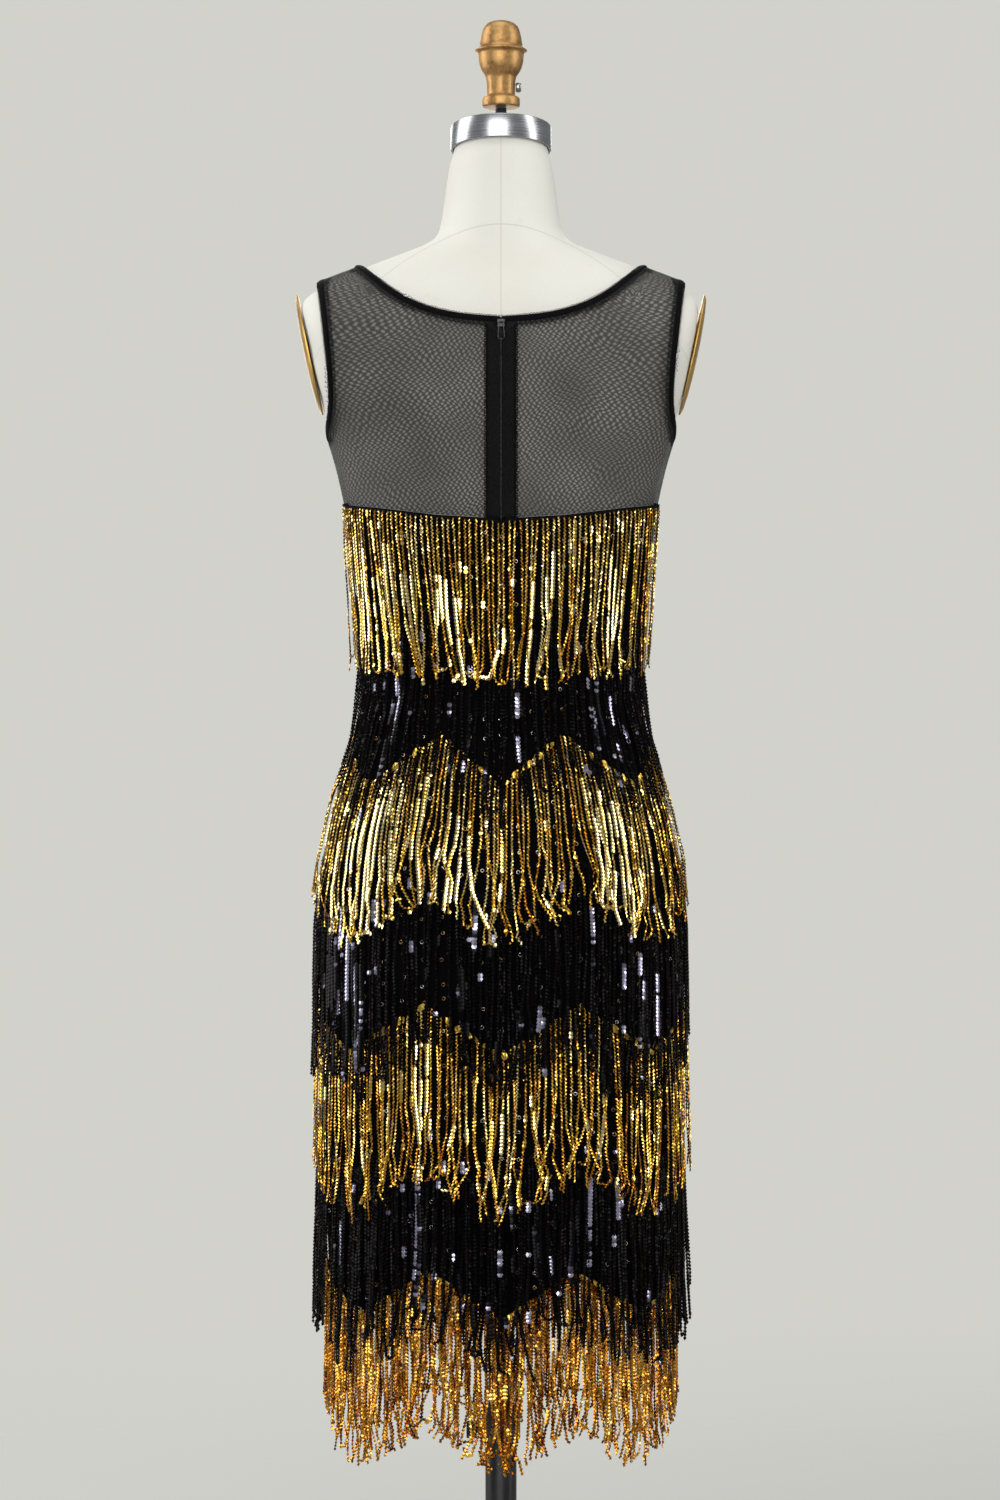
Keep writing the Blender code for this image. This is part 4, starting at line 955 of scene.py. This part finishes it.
# where flat sequins start, how long they go on, how far a zone's ends wander, and the knots and
# limit of the noise that breaks a stretch or makes a short one
flatRuns = {"starts": (-0.05, 0.45), "length": 0.3, "first": 0.10, "last": 0.12,
            "brokenKnots": 9, "broken": -0.9, "shortKnots": 13, "short": 1.5}
# how pale a sequin is: 0 the darkest and 1 the palest; flat is painted highlight that makes the
# sequins lying flat paler
shading = {"middle": 0.50, "slow": (5, 0.15), "each": 0.07, "strand": 0.13, "down": 0.10,
           "flat": 0.32}
tierTops = {name: measureTier(name) for name in tiers}


def sequinTemplate(sides):
    # a disc of radius 1 that comes to a point on both faces, or a square with its sides on X and Y
    bm = bmesh.new()
    bmesh.ops.create_circle(bm, cap_ends=True, cap_tris=True, segments=sides, radius=1.0)
    if sides == 4:
        bmesh.ops.rotate(bm, matrix=Matrix.Rotation(math.pi / 4, 3, "Z"), verts=bm.verts)
        bmesh.ops.scale(bm, vec=(math.sqrt(2), math.sqrt(2), 1), verts=bm.verts)
    for vert in bm.verts:
        if vert.co.length < 0.5:
            vert.co.z = 1.0
    bmesh.ops.mirror(bm, geom=bm.verts[:] + bm.edges[:] + bm.faces[:], axis="Z", merge_dist=1e-5)
    bmesh.ops.recalc_face_normals(bm, faces=bm.faces)
    return bm


def eased(value):
    value = np.clip(value, 0, 1)
    return value * value * (3 - 2 * value)


def slowNoise(rng, rows, columns, knots, size=1.0):
    # smooth random rows from a few knots each
    values = rng.normal(0, 1, (rows, knots + 2))
    stops = np.linspace(0, knots + 0.999, columns)
    low = stops.astype(int)
    share = eased(stops - low)
    return (values[:, low] * (1 - share) + values[:, low + 1] * share) * size


def kinkedNoise(rng, rows, columns, chance):
    # random rows that hold each value for a few steps, then turn sharply
    values = rng.normal(0, 1, (rows, columns))
    part = np.cumsum(rng.random((rows, columns)) < chance, axis=1)
    return np.take_along_axis(values, part, axis=1)


def rootAngles(tops, count, rng):
    # evenly spaced round the cloth
    fine = np.linspace(0, 2 * np.pi, 1441)
    length = runLength(wallPoint(fine, topAt(tops, fine))[:, :2])
    jitter = rng.uniform(-strand["rootJitter"], strand["rootJitter"], count)
    stops = (np.arange(count) + 0.5 + jitter) / count * length[-1]
    return np.interp(stops, length, fine)


def strandPaths(name, settings):
    # every strand's sequins as points, with their share of the way and angle round the pole
    rng = np.random.default_rng(settings["seed"])
    count = settings["strands"]
    pairs = count // 2
    pair = np.arange(count) // 2
    roots = rootAngles(tierTops[name], count, rng)
    rootHeights = topAt(tierTops[name], roots) + rng.uniform(*strand["rootHeight"], count)
    joined = (rng.random(pairs) < settings["loops"])[pair]
    lengths = settings["length"] * rng.uniform(*strand["lengths"], count)
    lengths *= 1 - settings["sideShort"] * eased(1 - np.abs(np.cos(roots)) / strand["sideFrom"])
    # the black tiers end unevenly over the tape below them
    rough = slowNoise(rng, 1, count, *strand["raggedRow"])[0]
    rough += rng.normal(0, strand["raggedPair"], pairs)[pair]
    lengths *= 1 + settings["ragged"] * np.clip(rough, *strand["raggedLimits"])
    # two joined strands reach the same height
    tips = rootHeights - lengths
    tips = np.where(joined, np.repeat(tips.reshape(-1, 2).mean(axis=1), 2), tips)
    lengths = rootHeights - tips
    pitch = sequin["pitch"]
    steps = int(lengths.max() / pitch) + 1
    way = (np.arange(steps) + 0.5) * pitch
    share = way[None, :] / lengths[:, None]
    growth = (share - strand["bendsFrom"]) / strand["bendsOver"]
    growth = np.clip(growth, 0, 1) ** strand["bendsMore"]

    # a strand turns sharply from side to side as it goes down, and joined ones turn alike
    own = kinkedNoise(rng, count, steps, sequin["straight"])
    alike = np.repeat(kinkedNoise(rng, pairs, steps, sequin["straight"]), 2, axis=0)
    together = alike * strand["alike"] + own * strand["own"]
    bend = np.where(joined[:, None], together, own) * strand["kink"] * settings["kinks"] * growth
    bend -= np.cumsum(bend, axis=1) / np.arange(1, steps + 1) * strand["straightens"]
    bend += (rng.normal(0, strand["lean"], (count, 1))
             + slowNoise(rng, count, steps, *strand["drift"]))

    def nearEnd(fromEnd):
        return eased((way[None, :] - (lengths[:, None] - fromEnd)) / strand["turnLength"])

    # the ends close into a loop with the neighbour's, or curl up alone
    inward = np.where(np.arange(count) % 2 == 0, 1.0, -1.0)
    closing = nearEnd(strand["loopEnd"]) * strand["loopTurn"]
    curls = rng.random(count) < strand["curls"]
    curl = rng.choice([-1, 1], count) * rng.uniform(*strand["curlTurn"], count)
    alone = np.where(curls, curl, 0)[:, None] * nearEnd(strand["curlEnd"])
    bend += np.where(joined[:, None], inward[:, None] * closing, alone)
    drop = np.cumsum(np.cos(bend), axis=1) * pitch
    aside = np.cumsum(np.sin(bend), axis=1) * pitch

    # neighbours draw together in twos, fours and sixes
    group = np.cumsum(rng.random(pairs) < strand["newGroup"])[pair]
    radius = wallRadius(roots, rootHeights)
    centre = np.array([roots[group == g].mean() for g in group])
    close = np.clip((centre - roots) * radius, -strand["closest"], strand["closest"])
    starts = rng.uniform(*strand["drawnFrom"], group.max() + 1)[group]
    drawn = eased((share - starts[:, None]) / strand["drawnOver"]) * settings["clumping"]
    aside += close[:, None] * drawn * rng.uniform(*strand["drawn"], pairs)[pair][:, None]
    side = (roots + np.pi) % (2 * np.pi) - np.pi
    tilt = np.clip((np.abs(side) - strand["tiltFrom"]) / strand["tiltOver"], 0, 1)
    tilt = np.sin(np.pi * tilt) * np.sign(side)
    tilt = np.where(side > 0, tilt, tilt * strand["rightTilt"])
    aside -= settings["lean"] * tilt[:, None] * np.clip(share, 0, 1) ** strand["tiltMore"]

    height = rootHeights[:, None] - drop
    turn = roots[:, None] + aside / radius[:, None]
    here = wallRadius(turn, height)
    reach = np.maximum.accumulate(here, axis=1)
    # some pairs hang clear of the cloth and some lie closer to it
    hang = 1 - strand["clear"] * rng.random(pairs)[pair][:, None] ** strand["clearMore"]
    out = here + hang * (settings["droop"] * (reach - here) + settings["sway"] * share)
    out += sequin["stand"]
    layer = rng.uniform(0, sequin["layers"], pairs)[pair][:, None]
    out += (layer * np.clip(share * sequin["layersOver"], 0, 1)
            + slowNoise(rng, count, steps, *strand["ripple"]) * growth)
    out -= strand["tuck"] * np.exp(-way[None, :] / strand["tuckLength"])
    points = np.stack((out * np.sin(turn), out * np.cos(turn), height), axis=-1)
    return rng, points, share, turn


def lyingFlat(rng, settings, turn, share):
    # which sequins lie flat: long stretches in the zones, front and back alike, and short ones
    # anywhere
    count, steps = share.shape
    side = np.degrees((turn[:, 0] + np.pi) % (2 * np.pi) - np.pi)
    side = np.where(np.abs(side) > 90, np.sign(side) * 180 - side, side)
    start = rng.uniform(*flatRuns["starts"], count)
    chosen = rng.random(count) < settings["flats"]
    end = start + flatRuns["length"]
    long = chosen[:, None] & (share > start[:, None]) & (share < end[:, None])
    for middle, spread, amount, first, last in settings["zones"]:
        chosen = rng.random(count) < amount * np.exp(-((side - middle) / spread) ** 2)
        start = first + rng.normal(0, flatRuns["first"], count)
        end = last + rng.normal(0, flatRuns["last"], count)
        long |= chosen[:, None] & (share > start[:, None]) & (share < end[:, None])
    broken = slowNoise(rng, count, steps, flatRuns["brokenKnots"]) < flatRuns["broken"]
    short = slowNoise(rng, count, steps, flatRuns["shortKnots"]) > flatRuns["short"]
    return (long & ~broken) | short


def turnedBy(angle, first, second):
    # two directions turned in their plane
    cos, sin = np.cos(angle)[..., None], np.sin(angle)[..., None]
    return cos * first + sin * second, cos * second - sin * first


def makeStrands(name, settings):
    rng, points, share, turn = strandPaths(name, settings)
    count, steps = share.shape
    along = unit(-np.gradient(points, axis=1))
    outward = wallNormal(turn, points[..., 2])
    outward = unit(outward - along * np.sum(outward * along, axis=2, keepdims=True))
    across = np.cross(outward, along)

    def each(spread):
        return rng.normal(0, spread, (count, steps))

    # most sequins are strung edge on and slant like a rope's strands, and some lie flat like tiles
    flat = lyingFlat(rng, settings, turn, share)
    jitter = sequin["jitter"]
    ofStrand, ofSequin = sequin["flatTwist"]
    twist = np.where(flat, rng.normal(0, ofStrand, (count, 1)) + each(ofSequin),
                     slowNoise(rng, count, steps, *sequin["twist"]) + each(jitter))
    slant = np.where(flat, 0.0, rng.choice([-1, 1], (count, 1)) * sequin["slant"] + each(jitter))
    tilt = np.where(flat, sequin["overlap"] + each(sequin["flatTilt"]),
                    each(jitter * sequin["tiltJitter"]))
    facing, side = turnedBy(twist, outward, across)
    normal, length = turnedBy(tilt, facing, along)
    length, side = turnedBy(slant, length, side)
    wide = settings["wide"]
    size = np.where(flat[..., None], np.array(sequin["flat"]) * (0.5 + wide / 2),
                    np.array(sequin["edgeOn"]) * (1.0, wide, wide))
    ways = [way * size[..., k:k + 1] for k, way in enumerate((length, side, normal))]

    shades = (shading["middle"] + slowNoise(rng, count, steps, *shading["slow"])
              + each(shading["each"]))
    shades += (rng.normal(0, shading["strand"], (count, 1)) - shading["down"] * (share - 0.5)
               + settings["tone"])
    # painted highlight: the flat sequins are made paler than the rest, and on the black tiers only
    # they reach the lilac foil
    shades = np.minimum(shades, settings["palest"])
    shades = np.clip(shades + np.where(flat, shading["flat"], 0.0), 0, 1)
    for ending, sides, kept in (("_strands", 4, ~flat), ("_flats", 6, flat)):
        kept = kept & (share < 1.0)
        stampPiece(name + ending, sequinTemplate(sides), points[kept], [way[kept] for way in ways],
                   shades[kept], settings["finish"], settings["slot"], smooth=False,
                   replaces=[name])


for name, settings in tiers.items():
    makeStrands(name, settings)
print("fringe made")

tape = {"wall": 0.0004, "out": 0.0013, "meanRadius": 0.145, "start": -0.04, "end": 1.04,
        "spare": 0.45, "heights": (0.7, 1.15), "lift": 0.0008, "pinch": 0.55,
        "creases": (-0.0007, 0.0009)}


def tapePiece(bm, settings, rng, tops, first, last):
    # one piece of tape between two angles: foil is askew, pinched at its ends and creased
    foil = "askew" in settings
    askew = rng.normal(0, settings["askew"]) if foil else 0.0
    tall = settings["height"] * (rng.uniform(*tape["heights"]) if foil else 1.0)
    lift = rng.uniform(0, tape["lift"]) if foil else 0.0
    wide = (last - first) * tape["meanRadius"]
    for vert in bmesh.ops.create_grid(bm, x_segments=4, y_segments=2, size=0.5)["verts"]:
        u, v = vert.co.x, vert.co.y
        pinch = 1 - tape["pinch"] * (2 * abs(u)) ** 3 if foil else 1.0
        crumple = rng.uniform(*tape["creases"]) if foil else 0.0
        angle = first + (last - first) * (u + 0.5)
        height = topAt(tops, angle) - tall / 2 + v * tall * pinch + askew * u * wide
        vert.co = wallPoint(angle, height, tape["out"] + tape["wall"] + lift + crumple)


def makeTape(name, seed, settings):
    rng = np.random.default_rng(seed)
    foil = "askew" in settings
    count = int(2 * math.pi * tape["meanRadius"] / settings["piece"])
    bm = bmesh.new()
    for k in range(count):
        if foil and rng.random() < settings["missing"]:
            continue
        start = rng.uniform(0.0, tape["spare"]) if foil else tape["start"]
        tapePiece(bm, settings, rng, tierTops[name], 2 * math.pi * (k + start) / count,
                  2 * math.pi * (k + tape["end"]) / count)
    bm.normal_update()
    for face in bm.faces:
        if face.normal.dot(Vector((*face.calc_center_median().xy, 0))) < 0:
            face.normal_flip()
    mesh = meshFrom(bm, name + "_tape", smooth=not foil)
    piece = linkPiece(name + "_tape", mesh, goldTape if foil else blackBinding,
                      "gold_beads" if foil else "black_beads")
    addWall(piece, tape["wall"])


for name, settings in tiers.items():
    makeTape(name, settings["seed"] + 40, settings["tape"])
print("tapes made")


# ring sequins sewn in columns on the body cloth, seen between the strands
rings = {"columns": 45, "down": 0.0200, "radius": 0.00165, "wire": 0.0006, "lowest": 0.515,
         "highest": 1.235, "out": 0.0008, "turned": 0.006, "raised": 0.005, "tilted": 0.16,
         "flattened": 0.5, "segments": 6}


def makeRings():
    rng = np.random.default_rng(5)
    rows = int((rings["highest"] - rings["lowest"]) / rings["down"])
    turn, height = np.meshgrid(np.arange(rings["columns"]) * 2 * np.pi / rings["columns"],
                               rings["lowest"] + np.arange(rows) * rings["down"])
    turn = (turn + rng.normal(0, rings["turned"], turn.shape)).ravel()
    height = (height + rng.uniform(-rings["raised"], rings["raised"], height.shape)).ravel()
    normal = wallNormal(turn, height)
    normal = unit(normal + rng.normal(0, rings["tilted"], normal.shape))
    across = unit(np.cross(normal, (0.0, 0.0, 1.0)))
    template = ringTemplate(rings["radius"], rings["wire"], rings["segments"])
    bmesh.ops.scale(template, vec=(1, 1, rings["flattened"]), verts=template.verts)
    stampPiece("ring_sequins", template, wallPoint(turn, height, rings["out"]),
               (np.cross(across, normal), across, normal), rng.random(len(turn)), ringSequins,
               "gold_beads")


makeRings()
print("ring sequins made")


# a few pale sequins caught on the bindings, all of the palest tone, the three at the neck as
# painted highlight: the edge, the lowest and highest of them, and how many
strays = {"radius": 0.0013, "wire": 0.0005, "segments": 6, "step": 0.0005, "away": 0.0012,
          "up": 0.0016, "scatter": 0.0003,
          "groups": (("yoke_back_left", "armLeft", 1.343, 1.371, 8),
                     ("yoke_back_right", "armRight", 1.369, 1.387, 6),
                     # painted highlight: these three pale sequins at the neck stand in for glints
                     ("yoke_back_left", "neck", 1.4325, 1.4345, 3))}


def makeStrays():
    rng = np.random.default_rng(8)
    seats = []
    for panel, edge, lowest, highest, count in strays["groups"]:
        tables = resampledChain(yokeEdges[panel][edge], strays["step"])
        order = np.argsort(tables[0][:, 2])
        stops = np.linspace(lowest, highest, count)
        seats.append([tableAt(stops, tables[0][order, 2], table[order]) for table in tables])
    points, along, away, up = (np.concatenate(table) for table in zip(*seats))
    points = points + away * strays["away"] + up * strays["up"]
    points = points + rng.normal(0, strays["scatter"], points.shape)
    stampPiece("stray_sequins_and_glints", ringTemplate(strays["radius"], strays["wire"], strays["segments"]),
               points, (along, away, up), np.full(len(points), 1.0), ringSequins, "black_beads")


makeStrays()
print("stray sequins made")


# the dress form, its fittings and its stand: each node's finish, slot, body, bevel and levels of
# subdivision
fittings = {
    "form_torso": (linen, "linen", dressBody, 0.0, 2),
    "arm_plate_left": (agedBrass, "brass", dressBody),
    "arm_plate_right": (agedBrass, "brass", dressBody),
    "neck_ring": (brushedSteel, "steel", dressBody, 0.0004),
    "neck_cap": (brushedSteel, "steel", dressBody, 0.0006),
    "knob_screw": (brushedSteel, "steel", dressBody),
    "pole_outer": (blackPaint, "black_paint", "stand", 0.0003),
    "pole_inner": (blackPaint, "black_paint", "riser", 0.0003),
    "pole_collar": (blackPaint, "black_paint", "stand", 0.0003),
    "base_plate": (blackPaint, "black_paint", "stand", 0.0006),
}


def bevelled(bm, edges, offset):
    bmesh.ops.bevel(bm, geom=edges, offset=offset, offset_type="OFFSET", affect="EDGES",
                    segments=2, profile=0.5, material=-1, clamp_overlap=True)


def polished(name, material, slotName, body, bevel=0.0, levels=0):
    # the CAD node's form with softened edges and smooth faces
    bm = nodeCopy(name)
    bmesh.ops.join_triangles(bm, faces=bm.faces, angle_face_threshold=0.3,
                             angle_shape_threshold=1.2)
    if bevel:
        bevelled(bm, [edge for edge in bm.edges
                      if edge.is_manifold and edge.calc_face_angle(0) > 0.6], bevel)
    mesh = meshFrom(bm, name + "_finish")
    if levels:
        mesh = softened(mesh, levels)
    mesh.set_sharp_from_angle(angle=math.radians(50))
    linkPiece(name + "_finish", mesh, material, slotName, body, replaces=[name])


for name, fitting in fittings.items():
    polished(name, *fitting)
print("form and stand made")


# the cast knob: its profile is radius and height pairs above its foot
knob = {"segments": 72, "foot": 1.623, "pit": 0.00022, "coarse": (160, 0.6), "fine": (420, 0.4),
        "stem": (0.012, 0.024), "worn": 0.035, "flats": 4}
knobProfile = [
    (0.0000, 0.0812), (0.0055, 0.0810), (0.0098, 0.0802), (0.0133, 0.0786), (0.0158, 0.0761),
    (0.0174, 0.0728), (0.0186, 0.0680), (0.0195, 0.0625), (0.0202, 0.0580), (0.0214, 0.0556),
    (0.0236, 0.0544), (0.0246, 0.0535), (0.0245, 0.0524), (0.0226, 0.0516), (0.0212, 0.0505),
    (0.0212, 0.0470), (0.0208, 0.0425), (0.0197, 0.0376), (0.0177, 0.0334), (0.0154, 0.0303),
    (0.0142, 0.0286), (0.0138, 0.0262), (0.0133, 0.0220), (0.0131, 0.0165), (0.0132, 0.0118),
    (0.0142, 0.0104), (0.0166, 0.0096), (0.0176, 0.0086), (0.0178, 0.0072), (0.0178, 0.0020),
    (0.0174, 0.0006), (0.0163, 0.0000), (0.0060, 0.0000), (0.0000, 0.0000),
]


def spun(profile, segments, centre, height):
    # a profile of radius and height pairs turned about an upright axis
    bm = bmesh.new()
    verts = [bm.verts.new((radius, 0, up)) for radius, up in profile]
    for first, second in zip(verts, verts[1:]):
        bm.edges.new((first, second))
    bmesh.ops.spin(bm, geom=bm.verts[:] + bm.edges[:], cent=(0, 0, 0), axis=(0, 0, 1),
                   angle=2 * math.pi, steps=segments, use_merge=True)
    bmesh.ops.remove_doubles(bm, verts=bm.verts, dist=1e-6)
    bmesh.ops.recalc_face_normals(bm, faces=bm.faces)
    bmesh.ops.translate(bm, vec=(centre[0], centre[1], height), verts=bm.verts)
    return bm


def nodeMiddle(name):
    low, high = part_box(name)
    return (low + high) / 2


def makeKnob():
    middle = nodeMiddle("neck_knob")
    bm = spun(knobProfile, knob["segments"], middle, knob["foot"])
    bm.normal_update()
    for vert in bm.verts:
        # the casting is pitted, and its stem has worn flats
        rough = sum(noise.noise(vert.co * scale) * share
                    for scale, share in (knob["coarse"], knob["fine"]))
        vert.co += vert.normal * rough * knob["pit"]
        if knob["stem"][0] < vert.co.z - knob["foot"] < knob["stem"][1]:
            turn = math.atan2(vert.co.y - middle.y, vert.co.x)
            flat = 1 - knob["worn"] * abs(math.sin(turn * knob["flats"]))
            vert.co.x *= flat
            vert.co.y = middle.y + (vert.co.y - middle.y) * flat
    mesh = softened(meshFrom(bm, "knob_casting"), 1)
    linkPiece("knob_casting", mesh, castGold, "cast_gold", replaces=["neck_knob"])


thread = {"turns": 11, "root": 0.0048, "crest": 0.0056, "lead": 0.15, "rise": 0.35,
          "segments": 32}


def makeThread():
    # the threaded rod under the knob
    low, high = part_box("neck_rod")
    span = high.z - low.z
    profile = [(0.0, high.z)]
    for k in range(thread["turns"]):
        up = high.z - span * (k + thread["lead"]) / thread["turns"]
        profile += [(thread["root"], up),
                    (thread["crest"], up - span * thread["rise"] / thread["turns"])]
    profile += [(thread["root"], low.z), (0.0, low.z)]
    bm = spun(profile, thread["segments"], nodeMiddle("neck_rod"), 0.0)
    linkPiece("neck_thread", meshFrom(bm, "neck_thread", smooth=False), blackMetal, "black_metal",
              replaces=["neck_rod"])


grip = {"radius": 0.0080, "segments": 72, "groove": 0.90, "thick": 0.0096, "bevel": 0.0006,
        "shank": 0.0032, "shankLength": 0.0044, "shankDown": 0.0020, "out": 0.0042}


def makeGrip():
    # the clamp's ribbed grip on its shank
    bm = bmesh.new()
    ring = bmesh.ops.create_circle(bm, segments=grip["segments"], radius=grip["radius"])["verts"]
    for vert in ring[::3]:
        vert.co *= grip["groove"]
    bmesh.ops.contextual_create(bm, geom=ring)
    raised = bmesh.ops.extrude_face_region(bm, geom=bm.faces[:])["geom"]
    bmesh.ops.translate(bm, vec=(0, 0, grip["thick"]),
                        verts=[item for item in raised if isinstance(item, bmesh.types.BMVert)])
    bmesh.ops.recalc_face_normals(bm, faces=bm.faces)
    bevelled(bm, [edge for edge in bm.edges if len(edge.link_faces) == 2
                  and max(len(face.verts) for face in edge.link_faces) > 8], grip["bevel"])
    shank = bmesh.ops.create_cone(bm, cap_ends=True, segments=24, radius1=grip["shank"],
                                  radius2=grip["shank"], depth=grip["shankLength"])["verts"]
    bmesh.ops.translate(bm, vec=(0, 0, -grip["shankDown"]), verts=shank)
    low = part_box("clamp_knob")[0]
    bmesh.ops.transform(bm, matrix=Matrix.Translation(
        (low.x + grip["out"], 0, nodeMiddle("clamp_knob").z))
        @ Matrix.Rotation(math.pi / 2, 4, "Y"), verts=bm.verts)
    mesh = meshFrom(bm, "clamp_grip")
    mesh.set_sharp_from_angle(angle=math.radians(35))
    linkPiece("clamp_grip", mesh, blackMetal, "black_metal", "clamp", replaces=["clamp_knob"])


makeKnob()
makeThread()
makeGrip()
print("knob made")


# camera, lights and a plain pale studio

view = {"lens": 82.5, "place": (0.0009, 3.2, 1.0230), "turn": (math.radians(90), 0, math.pi)}
camera = newObject("camera", bpy.data.cameras.new("camera"))
camera.data.lens = view["lens"]
camera.location = view["place"]
camera.rotation_euler = view["turn"]
bpy.context.scene.camera = camera

# each lamp's place, what it looks at, its width and height, and its power
lamps = {
    "left": ((2.66, -0.47, 2.1), (0, 0, 1.4), (1.7, 3.2), 60),
    "front": ((0.42, 3.45, 2.3), (0, 0, 1.4), (2.8, 3.2), 104),
    "right": ((-2.53, 0.58, 2.1), (0, 0, 1.4), (0.8, 3.2), 35),
    "behind": ((0.3, -3.3, 2.1), (0, 0, 1.4), (2.4, 3.0), 60),
    "top": ((0.0, 0.3, 3.4), (0, 0, 0.9), (1.4, 1.4), 14),
}
for name, (place, aim, size, power) in lamps.items():
    light = bpy.data.lights.new(name, "AREA")
    light.shape = "RECTANGLE"
    light.size, light.size_y = size
    light.energy = power
    lamp = newObject(name, light)
    lamp.location = place
    lamp.rotation_euler = (Vector(aim) - Vector(place)).to_track_quat("-Z", "Y").to_euler()

studio = {"seen": (0.640, 0.643, 0.597), "around": (0.95, 0.96, 1.0), "strength": 0.26,
          "floor": (0.0, 1.0, 2.0, 4.6), "under": 0.0002, "fadeFrom": 0.3, "fadeTo": 3.4,
          "paper": (0.50, 0.505, 0.47)}


def makeAir():
    # the camera sees one plain tone, and the object a softer light all round
    bpy.context.scene.view_settings.view_transform = "Standard"
    world = bpy.data.worlds.new("studio")
    world.use_nodes = True
    air = world.node_tree
    seen, around = (node(air, "ShaderNodeBackground",
                         {"Color": (*studio[name], 1), "Strength": strength})
                    for name, strength in (("seen", 1.0), ("around", studio["strength"])))
    ray = node(air, "ShaderNodeLightPath")
    both = node(air, "ShaderNodeMixShader", {0: ray.outputs["Is Camera Ray"],
                                            1: around.outputs["Background"],
                                            2: seen.outputs["Background"]})
    link(air, air.nodes["World Output"], Surface=both.outputs["Shader"])
    bpy.context.scene.world = world


def makeFloor():
    # a round pale floor that fades away at its rim
    bm = spun([(radius, 0.0) for radius in studio["floor"]], 96, (0, 0), -studio["under"])
    if sum(face.normal.z for face in bm.faces) < 0:
        bmesh.ops.reverse_faces(bm, faces=bm.faces)
    material, tree, shader = newMaterial("studioPaper", studio["paper"], Roughness=0.9)
    far = node(tree, "ShaderNodeVectorMath", {0: coordinates(tree)}, operation="LENGTH")
    link(tree, shader, Alpha=between(tree, far.outputs["Value"], studio["fadeFrom"],
                                     studio["fadeTo"], 1.0, 0.0, interpolation_type="SMOOTHERSTEP"))
    mesh = meshFrom(bm, "studio_floor")
    mesh.materials.append(material)
    piece = newObject("studio_floor", mesh)


makeAir()
makeFloor()

print("scene made")
